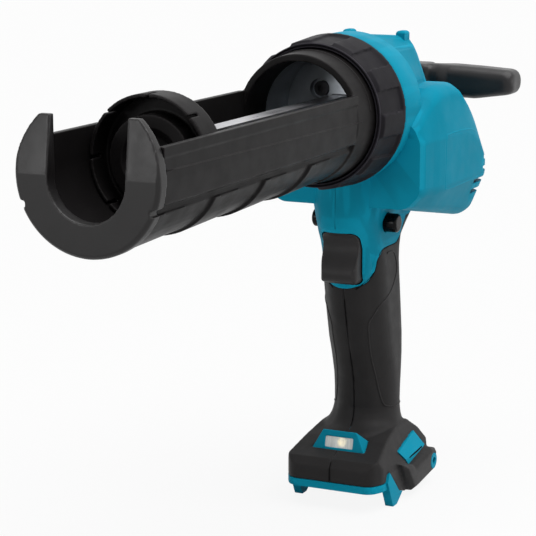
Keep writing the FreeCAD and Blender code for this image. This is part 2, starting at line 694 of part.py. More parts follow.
def holder_front():
    """Plate with the nozzle slot. Its horns lean back above the axis."""
    edge_r = HOLDER_R + BELLY_WALL + RIB_STEP + FRONT_PLATE_RIM
    plate = turned([
        (HOLDER_FRONT_X, 0.0),
        (HOLDER_FRONT_X, edge_r - FRONT_EDGE_CUT),
        (HOLDER_FRONT_X + FRONT_EDGE_CUT, edge_r),
        (CHANNEL_FRONT_X, edge_r),
        (CHANNEL_FRONT_X, 0.0),
    ])
    slot_r = NOZZLE_SLOT_WIDTH / 2
    slot_z = AXIS_HEIGHT - NOZZLE_SLOT_DROP
    front = HOLDER_FRONT_X - OVERRUN
    rear = CHANNEL_FRONT_X + OVERRUN
    slot = fuse([
        disc_x(slot_r, front, rear, 0.0, slot_z),
        bar(slot_r, front, rear, slot_z, slot_z + edge_r + OVERRUN),
    ])
    top = bar(2 * edge_r, front, rear, AXIS_HEIGHT + HORN_TOP, AXIS_HEIGHT + 2 * edge_r)
    lean = prism_y([
        (HOLDER_FRONT_X, AXIS_HEIGHT),
        (HOLDER_FRONT_X + HORN_LEAN, AXIS_HEIGHT + HORN_TOP),
        (HOLDER_FRONT_X + HORN_LEAN, AXIS_HEIGHT + HORN_TOP + OVERRUN),
        (HOLDER_FRONT_X - OVERRUN, AXIS_HEIGHT + HORN_TOP + OVERRUN),
        (HOLDER_FRONT_X - OVERRUN, AXIS_HEIGHT),
    ], -2 * edge_r, 2 * edge_r)
    notch_z = AXIS_HEIGHT - BELLY_DROP
    notch_y = math.sqrt(edge_r ** 2 - BELLY_DROP ** 2) - PLATE_NOTCH_DEPTH
    notch = box(front, rear, notch_y, 2 * edge_r, notch_z, notch_z + PLATE_NOTCH_HEIGHT)
    return cut(plate, [slot, top, lean, notch, mirrored(notch)])


def collar_radius(x):
    """Outer radius of the collar under its pads, rising towards the rear."""
    front_r = NOSE_R + RUNNING_GAP + COLLAR_FRONT_WALL
    rear_r = NOSE_R + RUNNING_GAP + COLLAR_REAR_WALL
    return front_r + (rear_r - front_r) * (x - COLLAR_FRONT_X) / COLLAR_LENGTH


def collar_ring():
    bore = NOSE_R + RUNNING_GAP
    lip_r = HOLDER_R + HOOP_WALL + HOOP_FLARE + RUNNING_GAP
    lip_rear = COLLAR_FRONT_X + COLLAR_LIP
    rim_x = COLLAR_REAR_X - COLLAR_REAR_RIM
    pad_front = COLLAR_FRONT_X + PAD_INSET
    body = turned([
        (COLLAR_FRONT_X, lip_r),
        (COLLAR_FRONT_X, collar_radius(COLLAR_FRONT_X) - PAD_HEIGHT),
        (rim_x, collar_radius(rim_x) - PAD_HEIGHT),
        (rim_x + PAD_HEIGHT, collar_radius(rim_x)),
        (COLLAR_REAR_X, collar_radius(COLLAR_REAR_X)),
        (COLLAR_REAR_X, bore),
        (lip_rear, bore),
        (lip_rear, lip_r),
    ])
    raised = turned([
        (COLLAR_FRONT_X + PAD_INSET / 2, bore),
        (COLLAR_FRONT_X + PAD_INSET / 2, collar_radius(COLLAR_FRONT_X) - PAD_HEIGHT),
        (pad_front + PAD_HEIGHT / 2, collar_radius(pad_front)),
        (COLLAR_REAR_X, collar_radius(COLLAR_REAR_X)),
        (COLLAR_REAR_X, bore),
    ])
    pads = []
    reach = 2 * collar_radius(COLLAR_REAR_X)
    half = math.pi / COLLAR_PADS / 2
    for i in range(COLLAR_PADS):
        wedge = prism_x([
            (0.0, 0.0),
            (reach * math.sin(-half), reach * math.cos(half)),
            (reach * math.sin(half), reach * math.cos(half)),
        ], COLLAR_FRONT_X, COLLAR_REAR_X)
        wedge.rotate(vec(0, 0, AXIS_HEIGHT), X_AXIS, 360 * (i + COLLAR_PHASE_SHARE) / COLLAR_PADS)
        pads.append(raised.common(wedge))
    return fuse([body] + pads)


# Push rod group
def rod_rack():
    """Flat steel bar with teeth along its underside."""
    top = AXIS_HEIGHT + ROD_HEIGHT / 2
    tip = AXIS_HEIGHT - ROD_HEIGHT / 2
    root = RACK_LINE_Z + RACK_MODULE * DEDENDUM_SHARE
    slope = math.tan(PRESSURE_ANGLE)
    half_gap = RACK_PITCH / 4 + RACK_BACKLASH / 2
    gap_low = half_gap + (RACK_LINE_Z - tip) * slope
    gap_high = half_gap - (root - RACK_LINE_Z) * slope
    steps = math.floor((PINION_X - ROD_FRONT_X - RACK_START) / RACK_PITCH)
    first = PINION_X - steps * RACK_PITCH
    outline = [(ROD_FRONT_X, top), (ROD_FRONT_X, tip)]
    for i in range(RACK_TEETH):
        middle = first + i * RACK_PITCH
        outline.append((middle - gap_low, tip))
        outline.append((middle - gap_high, root))
        outline.append((middle + gap_high, root))
        outline.append((middle + gap_low, tip))
    outline += [(ROD_REAR_X, tip), (ROD_REAR_X, top)]
    rod = prism_y(outline, -ROD_WIDTH / 2, ROD_WIDTH / 2)
    return cut(rod, [piston_screw_shank(), handle_pin()])


def piston():
    """Cup with a thin slit skirt, a deep ring groove and a dished boss."""
    radius = HOLDER_R - PISTON_PLAY
    rear = ROD_FRONT_X
    web = rear - PISTON_WEB
    boss_x = PISTON_FRONT_X + PISTON_BOSS_SET
    body = turned([
        (rear, 0.0),
        (rear, radius),
        (PISTON_FRONT_X, radius),
        (PISTON_FRONT_X, radius - PISTON_SKIRT),
        (web, radius - PISTON_SKIRT),
        (web, PISTON_BOSS_R),
        (boss_x, PISTON_BOSS_R),
        (boss_x, PISTON_DISH_R),
        (boss_x + PISTON_DISH_DEPTH, PISTON_DISH_R - PISTON_DISH_DEPTH),
        (boss_x + PISTON_DISH_DEPTH, 0.0),
    ])
    slits = []
    for i in range(PISTON_SLITS):
        slit = box(
            PISTON_FRONT_X - OVERRUN,
            PISTON_FRONT_X + PISTON_SLIT_DEPTH,
            -PISTON_SLIT_WIDTH / 2,
            PISTON_SLIT_WIDTH / 2,
            AXIS_HEIGHT + radius - PISTON_SKIRT - PISTON_PLAY,
            AXIS_HEIGHT + radius + OVERRUN,
        )
        slit.rotate(vec(0, 0, AXIS_HEIGHT), X_AXIS, 360 * i / PISTON_SLITS)
        slits.append(slit)
    return cut(body, slits + [piston_screw_shank()])


def piston_screw_shank():
    start = PISTON_FRONT_X + PISTON_BOSS_SET + PISTON_DISH_DEPTH
    return disc_x(PISTON_SCREW_R, start, start + PISTON_SCREW_LENGTH)


def hex_well(radius, x0, x1, y, z):
    corners = [(radius * math.cos(a), radius * math.sin(a)) for a in hex_angles()]
    face = polygon_face([vec(x0, y + v, z + u) for u, v in corners])
    return face.extrude(vec(x1 - x0, 0, 0))


def hex_angles():
    return [math.pi * k / 3 for k in range(6)]


def piston_screw():
    head_rear = PISTON_FRONT_X + PISTON_BOSS_SET + PISTON_DISH_DEPTH
    head_front = head_rear - PISTON_SCREW_HEAD
    head = disc_x(PISTON_SCREW_HEAD_R, head_front, head_rear)
    well = hex_well(PISTON_SCREW_R, head_front, head_front + HEX_DEPTH, 0.0, AXIS_HEIGHT)
    return fuse([head, piston_screw_shank()]).cut(well)


def handle_station(y, drop, height, depth):
    """Rounded cross-section of the pull handle, square to Y, hung from its upper edge."""
    x0 = ROD_REAR_X - HANDLE_HUB_LENGTH / 2 - depth / 2
    top = AXIS_HEIGHT + HANDLE_TOP - drop
    points = [
        vec(x0, y, top - height),
        vec(x0 + depth, y, top - height),
        vec(x0 + depth, y, top),
        vec(x0, y, top),
    ]
    return rounded_wire(points, [HANDLE_ROUNDING] * 4)


def handle_stations():
    """Places along the handle with the upper edge's fall, the height and the depth there."""
    root = (0.0, HANDLE_ROOT_HEIGHT, HANDLE_ROOT_DEPTH)
    hand = (0.0, HANDLE_GRIP_HEIGHT, HANDLE_GRIP_DEPTH)
    waist = (HANDLE_END_FALL / 3, HANDLE_GRIP_HEIGHT, HANDLE_GRIP_DEPTH)
    stations = []
    for share, sizes in zip(HANDLE_STATION_SHARES, (root, root, hand, waist)):
        stations.append((HANDLE_REACH * share, *sizes))
    for along, drawn in HANDLE_CURL_SHARES:
        curl = HANDLE_END_ROUNDING * drawn
        y = HANDLE_REACH - HANDLE_END_ROUNDING * (1 - along)
        height = HANDLE_END_HEIGHT - 2 * curl
        stations.append((y, HANDLE_END_FALL + curl, height, HANDLE_GRIP_DEPTH - 2 * curl))
    return stations


def rear_handle():
    """Hub on the rod's end with a grip that reaches out to one side."""
    front = ROD_REAR_X - HANDLE_HUB_LENGTH
    low = AXIS_HEIGHT - ROD_HEIGHT / 2 - HANDLE_HUB_WALL
    hub = bar(HANDLE_HUB_HALF, front, ROD_REAR_X + HANDLE_HUB_WALL, low, AXIS_HEIGHT + HANDLE_TOP)
    hub = hub.makeFillet(HANDLE_HUB_WALL, hub.Edges)
    wires = [handle_station(-y, *sizes) for y, *sizes in handle_stations()]
    arm = Part.makeLoft(wires, True, True)
    seat = bar(ROD_WIDTH / 2, front - OVERRUN, ROD_REAR_X, AXIS_HEIGHT - ROD_HEIGHT / 2,
               AXIS_HEIGHT + ROD_HEIGHT / 2)
    return cut(fuse([hub, arm]), [seat, handle_pin()])


def handle_pin():
    """Cross pin through the handle's hub and the rod."""
    x = ROD_REAR_X - HANDLE_HUB_LENGTH / 2
    return disc_y(HANDLE_PIN_R, -HANDLE_HUB_HALF, HANDLE_HUB_HALF, x, AXIS_HEIGHT)


# Gear case
def rod_window(x0, x1):
    """Clear passage for the rod."""
    low = AXIS_HEIGHT - ROD_HEIGHT / 2 - ROD_PLAY
    high = AXIS_HEIGHT + ROD_HEIGHT / 2 + ROD_PLAY
    return bar(ROD_WIDTH / 2 + ROD_PLAY, x0, x1, low, high)


def case_screw_places():
    heights = (AXIS_HEIGHT - CASE_SCREW_Z, AXIS_HEIGHT + CASE_SCREW_Z)
    return [(y, z) for y in (-CASE_SCREW_Y, CASE_SCREW_Y) for z in heights]


def case_screw_shank(y, z):
    start = NOSE_PLATE_X + CASE_SCREW_WELL_DEPTH
    return disc_x(CASE_SCREW_R, start, start + CASE_SCREW_LENGTH, y, z)


def case_screws():
    screws = []
    for y, z in case_screw_places():
        rear = NOSE_PLATE_X + CASE_SCREW_WELL_DEPTH
        front = rear - CASE_SCREW_HEAD
        head = disc_x(CASE_SCREW_HEAD_R, front, rear, y, z)
        well = hex_well(HEX_R, front, front + HEX_DEPTH, y, z)
        screws.append(fuse([head, case_screw_shank(y, z)]).cut(well))
    return Part.makeCompound(screws)


def gear_case_nose():
    """Threaded nose tube with the bearing plate across its rear."""
    tube = turned([
        (NOSE_FRONT_X, NOSE_BORE),
        (NOSE_FRONT_X, NOSE_R),
        (NOSE_PLATE_X, NOSE_R),
        (NOSE_PLATE_X, NOSE_R + NOSE_FLANGE),
        (NOSE_PLATE_REAR_X, NOSE_R + NOSE_FLANGE),
        (NOSE_PLATE_REAR_X, 0.0),
        (NOSE_PLATE_X, 0.0),
        (NOSE_PLATE_X, NOSE_BORE),
    ])
    tools = [rod_window(NOSE_PLATE_X - OVERRUN, NOSE_PLATE_REAR_X + OVERRUN)]
    for y, z in case_screw_places():
        well_rear = NOSE_PLATE_X + CASE_SCREW_WELL_DEPTH
        tools.append(disc_x(CASE_SCREW_WELL_R, NOSE_PLATE_X - OVERRUN, well_rear, y, z))
        tools.append(case_screw_shank(y, z))
    return cut(tube, tools)


def gear_case_body():
    """Two bearing walls joined over the rod."""
    body = bar(CASE_HALF_WIDTH, NOSE_PLATE_REAR_X, CASE_REAR_X, AXIS_HEIGHT - CASE_BOTTOM,
               AXIS_HEIGHT + CASE_TOP)
    flange = bar(CASE_FLANGE_HALF_WIDTH, NOSE_PLATE_REAR_X, NOSE_PLATE_REAR_X + CASE_FLANGE_LENGTH,
                 AXIS_HEIGHT - CASE_FLANGE_HEIGHT, AXIS_HEIGHT + CASE_FLANGE_HEIGHT)
    slot = bar(CASE_SLOT_HALF, NOSE_PLATE_REAR_X - OVERRUN, CASE_REAR_X + OVERRUN,
               AXIS_HEIGHT - CASE_BOTTOM - OVERRUN, AXIS_HEIGHT + CASE_TOP - CASE_ROOF)
    bore = disc_y(BUSH_R, -CASE_HALF_WIDTH - OVERRUN, CASE_HALF_WIDTH + OVERRUN, PINION_X, PINION_Z)
    return cut(fuse([body, flange]), [slot, bore] + [case_screw_shank(y, z) for y, z in case_screw_places()])


def bush():
    outer = disc_y(BUSH_R, CASE_SLOT_HALF, CASE_HALF_WIDTH, PINION_X, PINION_Z)
    inner = disc_y(PINION_SHAFT_R + SHAFT_FIT, CASE_SLOT_HALF - OVERRUN, CASE_HALF_WIDTH + OVERRUN,
                   PINION_X, PINION_Z)
    return outer.cut(inner)


def side_plate():
    """Plate that joins the gear case and the planet ring and carries the output shaft."""
    margin = SIDE_PLATE_MARGIN
    corner_x = NOSE_PLATE_REAR_X + CASE_FLANGE_LENGTH
    low = AXIS_HEIGHT - CASE_BOTTOM
    plate = fuse([
        box(corner_x, CASE_REAR_X, CASE_HALF_WIDTH, SIDE_PLATE_Y, low, AXIS_HEIGHT + CASE_TOP - CASE_ROOF),
        disc_y(MOTOR_R, CASE_HALF_WIDTH, SIDE_PLATE_Y, MOTOR_X, MOTOR_Z),
        box(CASE_REAR_X - margin, MOTOR_X, CASE_HALF_WIDTH, SIDE_PLATE_Y, low, MOTOR_Z + MOTOR_R / 2),
    ])
    shaft_r = output_shaft_radius() + SHAFT_FIT
    front = CASE_HALF_WIDTH - OVERRUN
    rear = SIDE_PLATE_Y + OVERRUN
    hole = disc_y(shaft_r, front, rear, MOTOR_X, MOTOR_Z)
    clear = disc_y(PINION_SHAFT_R + RUNNING_GAP, front, rear, PINION_X, PINION_Z)
    return cut(plate, [hole, clear])


# Rod drive
def pinion_shaft():
    return disc_y(PINION_SHAFT_R, -CASE_HALF_WIDTH, CLUTCH_END_Y, PINION_X, PINION_Z)


def rack_pinion():
    upward = -math.pi / 2
    place = (PINION_X, -ROD_WIDTH / 2, PINION_Z)
    pinion = gear(RACK_PINION_TEETH, RACK_MODULE, upward, ROD_WIDTH, RACK_BACKLASH, place)
    return pinion.cut(pinion_shaft())


def clutch_dogs(y0, y1, turn):
    """Blocks between the hub's bore and rim, spaced round the pinion axis."""
    dogs = []
    for k in range(CLUTCH_DOGS):
        dog = box(
            PINION_X + PINION_SHAFT_R + RUNNING_GAP,
            PINION_X + CLUTCH_R - RUNNING_GAP,
            y0,
            y1,
            PINION_Z - CLUTCH_DOG_WIDTH / 2,
            PINION_Z + CLUTCH_DOG_WIDTH / 2,
        )
        dog.rotate(vec(PINION_X, 0, PINION_Z), Y_AXIS, 360 * (k + turn) / CLUTCH_DOGS)
        dogs.append(dog)
    return dogs


def clutch_sleeve():
    """Dog sleeve on the pinion shaft, drawn clear of the final gear."""
    body = disc_y(CLUTCH_R, CLUTCH_Y, CLUTCH_END_Y, PINION_X, PINION_Z)
    dogs = clutch_dogs(CLUTCH_Y - CLUTCH_DOG_HEIGHT / 2, CLUTCH_Y, 0.0)
    return fuse([body] + dogs).cut(pinion_shaft())


def final_gear():
    place = (PINION_X, FINAL_GEAR_Y, PINION_Z)
    wheel = gear(FINAL_TEETH, FINAL_MODULE, 0.0, FINAL_GEAR_WIDTH, FINAL_BACKLASH, place)
    rim_r = FINAL_R - FINAL_RIM
    dish = disc_y(rim_r, FINAL_GEAR_END_Y - FINAL_WEB_SET, FINAL_GEAR_END_Y + OVERRUN, PINION_X, PINION_Z)
    hub = disc_y(FINAL_HUB_R, FINAL_GEAR_Y, FINAL_GEAR_END_Y, PINION_X, PINION_Z)
    dogs = clutch_dogs(FINAL_GEAR_END_Y, FINAL_GEAR_END_Y + CLUTCH_DOG_HEIGHT / 2, 0.5)
    bore = disc_y(PINION_SHAFT_R + SHAFT_FIT, FINAL_GEAR_Y - OVERRUN, CLUTCH_END_Y, PINION_X, PINION_Z)
    return fuse([wheel.cut(dish), hub] + dogs).cut(bore)


# Motor and planet stages
def output_shaft_radius():
    return OUTPUT_R - FINAL_MODULE * DEDENDUM_SHARE - SHAFT_FIT


def planet_direction(k):
    return 2 * math.pi * k / PLANETS


def planet_phase(k):
    return mesh_phase(SUN_TEETH, 0.0, PLANET_TEETH, planet_direction(k))


def planet_place(k):
    spot = polar(PLANET_ORBIT, planet_direction(k))
    return MOTOR_X + spot.x, MOTOR_Z - spot.y


def sun_gear(y0, y1):
    return gear(SUN_TEETH, PLANET_MODULE, 0.0, y1 - y0, PLANET_BACKLASH, (MOTOR_X, y0, MOTOR_Z))


def planet(k, y0, width):
    x, z = planet_place(k)
    wheel = gear(PLANET_TEETH, PLANET_MODULE, planet_phase(k), width, PLANET_BACKLASH, (x, y0, z))
    return wheel.cut(disc_y(PLANET_PIN_R + SHAFT_FIT, y0 - OVERRUN, y0 + width + OVERRUN, x, z))


def carrier(plate_y, pin_start):
    """Carrier disc with the pins that the planets turn on."""
    reach = PLANET_ORBIT + PLANET_PIN_R + CARRIER_MARGIN
    pieces = [disc_y(reach, plate_y, plate_y + CARRIER_THICKNESS, MOTOR_X, MOTOR_Z)]
    for k in range(PLANETS):
        x, z = planet_place(k)
        pieces.append(disc_y(PLANET_PIN_R, pin_start, plate_y, x, z))
    return pieces


def first_carrier():
    sun = sun_gear(FIRST_CARRIER_Y + CARRIER_THICKNESS, SECOND_CARRIER_Y - STAGE_GAP)
    return fuse(carrier(FIRST_CARRIER_Y, FIRST_STAGE_START) + [sun])


def second_carrier():
    shaft = disc_y(output_shaft_radius(), SECOND_CARRIER_Y, FINAL_GEAR_END_Y, MOTOR_X, MOTOR_Z)
    return fuse(carrier(SECOND_CARRIER_Y, SECOND_STAGE_START) + [shaft])


def output_pinion():
    phase = mesh_phase(FINAL_TEETH, 0.0, OUTPUT_TEETH, DRIVE_SLOPE)
    place = (MOTOR_X, FINAL_GEAR_Y, MOTOR_Z)
    pinion = gear(OUTPUT_TEETH, FINAL_MODULE, phase, FINAL_GEAR_WIDTH, FINAL_BACKLASH, place)
    return pinion.cut(disc_y(output_shaft_radius(), SECOND_CARRIER_Y, FINAL_GEAR_END_Y + OVERRUN,
                             MOTOR_X, MOTOR_Z))


def ring_gear():
    """Internal gear that serves both planet stages."""
    phase = ring_phase(planet_phase(0), planet_direction(0))
    tip = RING_R + PLANET_MODULE * DEDENDUM_SHARE
    root = RING_R - PLANET_MODULE * ADDENDUM_SHARE
    gap = gear_wire(RING_TEETH, PLANET_MODULE, phase + math.pi / RING_TEETH, tip, root, -PLANET_BACKLASH)
    space = lay_along_y(Part.Face(gap).extrude(vec(0, 0, RING_LENGTH)), MOTOR_X, RING_FRONT_Y, MOTOR_Z)
    return disc_y(MOTOR_R, RING_FRONT_Y, CASE_HALF_WIDTH, MOTOR_X, MOTOR_Z).cut(space)


def motor_can():
    can = disc_y(MOTOR_R, MOTOR_FRONT_Y, RING_FRONT_Y, MOTOR_X, MOTOR_Z)
    room = disc_y(MOTOR_R - MOTOR_WALL, MOTOR_FRONT_Y - OVERRUN, RING_FRONT_Y - MOTOR_FACE, MOTOR_X, MOTOR_Z)
    hole = disc_y(MOTOR_SHAFT_R + SHAFT_FIT, MOTOR_FRONT_Y, RING_FRONT_Y + OVERRUN, MOTOR_X, MOTOR_Z)
    return cut(can, [room, hole])


def motor_cap():
    """Brush end cap that closes the motor can."""
    rear = MOTOR_FRONT_Y + MOTOR_CAP_LENGTH
    cap = disc_y(MOTOR_R - MOTOR_WALL, MOTOR_FRONT_Y, rear, MOTOR_X, MOTOR_Z)
    hole = disc_y(MOTOR_SHAFT_R + SHAFT_FIT, MOTOR_FRONT_Y - OVERRUN, rear + OVERRUN, MOTOR_X, MOTOR_Z)
    return cap.cut(hole)


def fan_start():
    return MOTOR_FRONT_Y - FAN_GAP - FAN_WIDTH


def rotor():
    """Motor shaft with the first sun gear cut on its end."""
    shaft = disc_y(MOTOR_SHAFT_R, fan_start(), FIRST_STAGE_START, MOTOR_X, MOTOR_Z)
    return fuse([shaft, sun_gear(FIRST_STAGE_START, FIRST_STAGE_START + FIRST_STAGE_WIDTH)])


def armature():
    radius = MOTOR_R - MOTOR_WALL - ARMATURE_GAP
    middle = (MOTOR_FRONT_Y + RING_FRONT_Y) / 2
    start = middle - ARMATURE_LENGTH / 2
    end = middle + ARMATURE_LENGTH / 2
    core = disc_y(radius, start, end, MOTOR_X, MOTOR_Z)
    tools = [disc_y(MOTOR_SHAFT_R, start - OVERRUN, end + OVERRUN, MOTOR_X, MOTOR_Z)]
    for k in range(ARMATURE_SLOTS):
        slot = box(
            MOTOR_X + radius - ARMATURE_SLOT_DEPTH,
            MOTOR_X + radius + OVERRUN,
            start - OVERRUN,
            end + OVERRUN,
            MOTOR_Z - ARMATURE_SLOT_WIDTH / 2,
            MOTOR_Z + ARMATURE_SLOT_WIDTH / 2,
        )
        slot.rotate(vec(MOTOR_X, 0, MOTOR_Z), Y_AXIS, 360 * k / ARMATURE_SLOTS)
        tools.append(slot)
    return cut(core, tools)


def fan():
    start = fan_start()
    end = start + FAN_WIDTH
    pieces = [
        disc_y(FAN_R, end - FAN_DISC, end, MOTOR_X, MOTOR_Z),
        disc_y(FAN_HUB_R, start, end, MOTOR_X, MOTOR_Z),
    ]
    for k in range(FAN_BLADES):
        blade = box(MOTOR_X + FAN_HUB_R / 2, MOTOR_X + FAN_R - FAN_BLADE, start, end - FAN_DISC / 2,
                    MOTOR_Z - FAN_BLADE / 2, MOTOR_Z + FAN_BLADE / 2)
        blade.rotate(vec(MOTOR_X, 0, MOTOR_Z), Y_AXIS, 360 * k / FAN_BLADES)
        pieces.append(blade)
    return fuse(pieces).cut(disc_y(MOTOR_SHAFT_R, start - OVERRUN, end + OVERRUN, MOTOR_X, MOTOR_Z))


# Housing outline, drawn with an inset so that the same functions give walls and hollows
def block_section(x, half_width, rise, drop, fall, inset):
    """Eight-sided section: flat sides between an upper and a lower slope."""
    side_top = AXIS_HEIGHT - SIDE_TOP
    side_low = AXIS_HEIGHT - SIDE_BOTTOM
    half = [
        (half_width * (1 - BLOCK_TOP_CUT_SHARE) - inset, side_top + rise - inset),
        (half_width - inset, side_top - fall - inset / 2),
        (half_width - inset, side_low + inset / 2),
        (half_width * (1 - BLOCK_BOTTOM_CUT_SHARE) - inset, side_low - drop + inset),
    ]
    points = [vec(x, y, z) for y, z in mirror_outline(half)]
    return rounded_wire(points, [BLOCK_ROUNDING] * len(points))


def motor_block(inset):
    wires = []
    for along, width, rise, drop, fall in smooth_stations(BLOCK_STATION_SHARES, BLOCK_STEPS):
        x = BLOCK_FRONT_X + inset + (BLOCK_LENGTH - 2 * inset) * along
        rise *= BLOCK_TOP + SIDE_TOP
        drop *= BLOCK_BOTTOM - SIDE_BOTTOM
        fall *= SIDE_BOTTOM - SIDE_TOP
        wires.append(block_section(x, BLOCK_HALF_WIDTH * width, rise, drop, fall, inset))
    return Part.makeLoft(wires, True, True)


def tower_section(x, top, shares, inset):
    half = [(DRUM_R * w - inset, AXIS_HEIGHT + top * h - inset) for w, h in shares]
    points = [vec(x, y, z) for y, z in mirror_outline(half)]
    return rounded_wire(points, [TOWER_ROUNDING] * len(points))


def tower(inset):
    front = HOUSING_FRONT_X + TOWER_SETBACK + inset
    rear = HOUSING_FRONT_X + TOWER_LENGTH - inset
    wires = [
        tower_section(front, DRUM_R, TOWER_FRONT_SHARES, inset),
        tower_section(rear - TOWER_REAR_LEAN, TOWER_TOP, TOWER_REAR_SHARES, inset),
        tower_section(rear, TOWER_TOP - TOWER_REAR_LEAN, TOWER_REAR_SHARES, inset),
    ]
    return Part.makeLoft(wires, True, True)


def drum():
    rear = HOUSING_FRONT_X + DRUM_LENGTH
    return turned([
        (HOUSING_FRONT_X, 0.0),
        (HOUSING_FRONT_X, DRUM_R - DRUM_EDGE_CUT),
        (HOUSING_FRONT_X + DRUM_EDGE_CUT, DRUM_R),
        (rear, DRUM_R),
        (rear, 0.0),
    ])


def drum_space():
    """Room behind the bearing plate's flange, and the hole for the nose."""
    rear = HOUSING_FRONT_X + DRUM_LENGTH
    return turned([
        (HOUSING_FRONT_X - OVERRUN, 0.0),
        (HOUSING_FRONT_X - OVERRUN, NOSE_R),
        (NOSE_PLATE_X, NOSE_R),
        (NOSE_PLATE_X, NOSE_R + NOSE_FLANGE),
        (rear, NOSE_R + NOSE_FLANGE),
        (rear, 0.0),
    ])


def grip_section(down, middle, depth, half_width, inset):
    z = GRIP_TOP_Z - GRIP_LENGTH * down
    centre = GRIP_X + GRIP_DEPTH * middle
    front = centre - GRIP_DEPTH * depth / 2 + inset
    rear = centre + GRIP_DEPTH * depth / 2 - inset
    wide = GRIP_HALF_WIDTH * half_width - inset
    half = [
        (front, wide * GRIP_FRONT_FLAT_SHARE),
        (front + GRIP_DEPTH * GRIP_FRONT_SLOPE_SHARE, wide),
        (rear - GRIP_DEPTH * GRIP_REAR_SLOPE_SHARE, wide),
        (rear, wide * GRIP_REAR_FLAT_SHARE),
    ]
    points = [vec(x, y, z) for x, y in half + [(x, -y) for x, y in reversed(half)]]
    return rounded_wire(points, [GRIP_HALF_WIDTH] * len(points))


def station_slope(stations, i, column):
    """Slope of a column at a station: level at the ends and where the column turns."""
    if i in (0, len(stations) - 1):
        return 0.0
    before = (stations[i][column] - stations[i - 1][column]) / (stations[i][0] - stations[i - 1][0])
    after = (stations[i + 1][column] - stations[i][column]) / (stations[i + 1][0] - stations[i][0])
    if before * after <= 0:
        return 0.0
    return 2 * before * after / (before + after)


def station_between(stations, i, column, t):
    """Value of a column a share t of the way from a station to the next."""
    span = stations[i + 1][0] - stations[i][0]
    start = stations[i][column]
    end = stations[i + 1][column]
    leave = station_slope(stations, i, column) * span
    arrive = station_slope(stations, i + 1, column) * span
    bend = 3 * (end - start) - 2 * leave - arrive
    twist = leave + arrive - 2 * (end - start)
    return start + leave * t + bend * t ** 2 + twist * t ** 3


def smooth_stations(stations, steps):
    """The stations with others between them on a smooth curve."""
    columns = range(1, len(stations[0]))
    filled = []
    for i in range(len(stations) - 1):
        for k in range(steps):
            t = k / steps
            along = stations[i][0] + (stations[i + 1][0] - stations[i][0]) * t
            filled.append([along] + [station_between(stations, i, column, t) for column in columns])
    return filled + [stations[-1]]


def grip(inset):
    wires = [grip_section(*station, inset) for station in smooth_stations(GRIP_STATION_SHARES, GRIP_STEPS)]
    return Part.makeLoft(wires, True, True)


def foot(inset, floor):
    profile = []
    for along, up in FOOT_PROFILE_SHARES:
        x = FOOT_FRONT_X + inset + (FOOT_LENGTH - 2 * inset) * along
        profile.append((x, floor + (FOOT_FLOOR + FOOT_HEIGHT - inset - floor) * up))
    wide = FOOT_HALF_WIDTH - inset
    side = prism_y(profile, -wide, wide)
    front = FOOT_FRONT_X + inset
    length = FOOT_LENGTH - 2 * inset
    half = [(front + length * along, wide * w) for along, w in FOOT_PLAN_SHARES]
    plan = [vec(x, y, floor) for x, y in half + [(x, -y) for x, y in reversed(half)]]
    column = Part.Face(rounded_wire(plan, [FOOT_CORNER] * len(plan))).extrude(vec(0, 0, AXIS_HEIGHT / 2))
    high = FOOT_FLOOR + FOOT_HEIGHT - inset - AXIS_HEIGHT
    leaning = [
        (FOOT_TOP_HALF_WIDTH - inset, high),
        (wide, FOOT_FLOOR + FOOT_KNEE - inset - AXIS_HEIGHT),
        (wide, floor - AXIS_HEIGHT),
    ]
    across = prism_x(mirror_outline(leaning), FOOT_FRONT_X - OVERRUN, FOOT_REAR_X + OVERRUN)
    return side.common(column).common(across)


def cover_zone():
    """Everything behind and below the edge of the soft grip cover, down to the bare strip."""
    edge = [
        (GRIP_X + GRIP_DEPTH * along, GRIP_TOP_Z - GRIP_LENGTH * down)
        for along, down in COVER_EDGE_SHARES
    ]
    front = edge[-1][0]
    rear = GRIP_X + 2 * GRIP_DEPTH
    outline = edge + [(front, FOOT_COVER_Z)] + rail_panel() + [(rear, FOOT_COVER_Z), (rear, edge[0][1])]
    return prism_y(outline, -BLOCK_HALF_WIDTH, BLOCK_HALF_WIDTH)


def rail_panel():
    """Bare side of a rail over the cover's lower edge: front, apex and rear as (x, z)."""
    apex = FOOT_FRONT_X + RAIL_PANEL_APEX
    return [
        (FOOT_FRONT_X + RAIL_FRONT - RAIL_RAKE, FOOT_COVER_Z),
        (apex, FOOT_COVER_Z + RAIL_PANEL_RISE),
        (apex + RAIL_PANEL_BACK, FOOT_COVER_Z),
    ]


def hook_prism(shares, y0, y1):
    outline = []
    for along, up in shares:
        x = FOOT_REAR_X + HOOK_BLOCK_LENGTH * (along - 1)
        outline.append((x, HOOK_BLOCK_LOW + HOOK_BLOCK_HEIGHT * up))
    return prism_y(outline, y0, y1)


def hook_block():
    """Block on the foot's side that carries the hook's insert, on a plate flush with the foot."""
    outer = FOOT_HALF_WIDTH + HOOK_BLOCK_DEPTH
    body = hook_prism(HOOK_BLOCK_SHARES, FOOT_HALF_WIDTH - COVER, outer)
    rim = [edge for edge in body.Edges if edge.BoundBox.YMin > FOOT_HALF_WIDTH]
    plate = hook_prism(HOOK_PLATE_SHARES, FOOT_HALF_WIDTH - COVER, FOOT_HALF_WIDTH)
    return fuse([body.makeChamfer(HOOK_BLOCK_CUT, rim), plate])


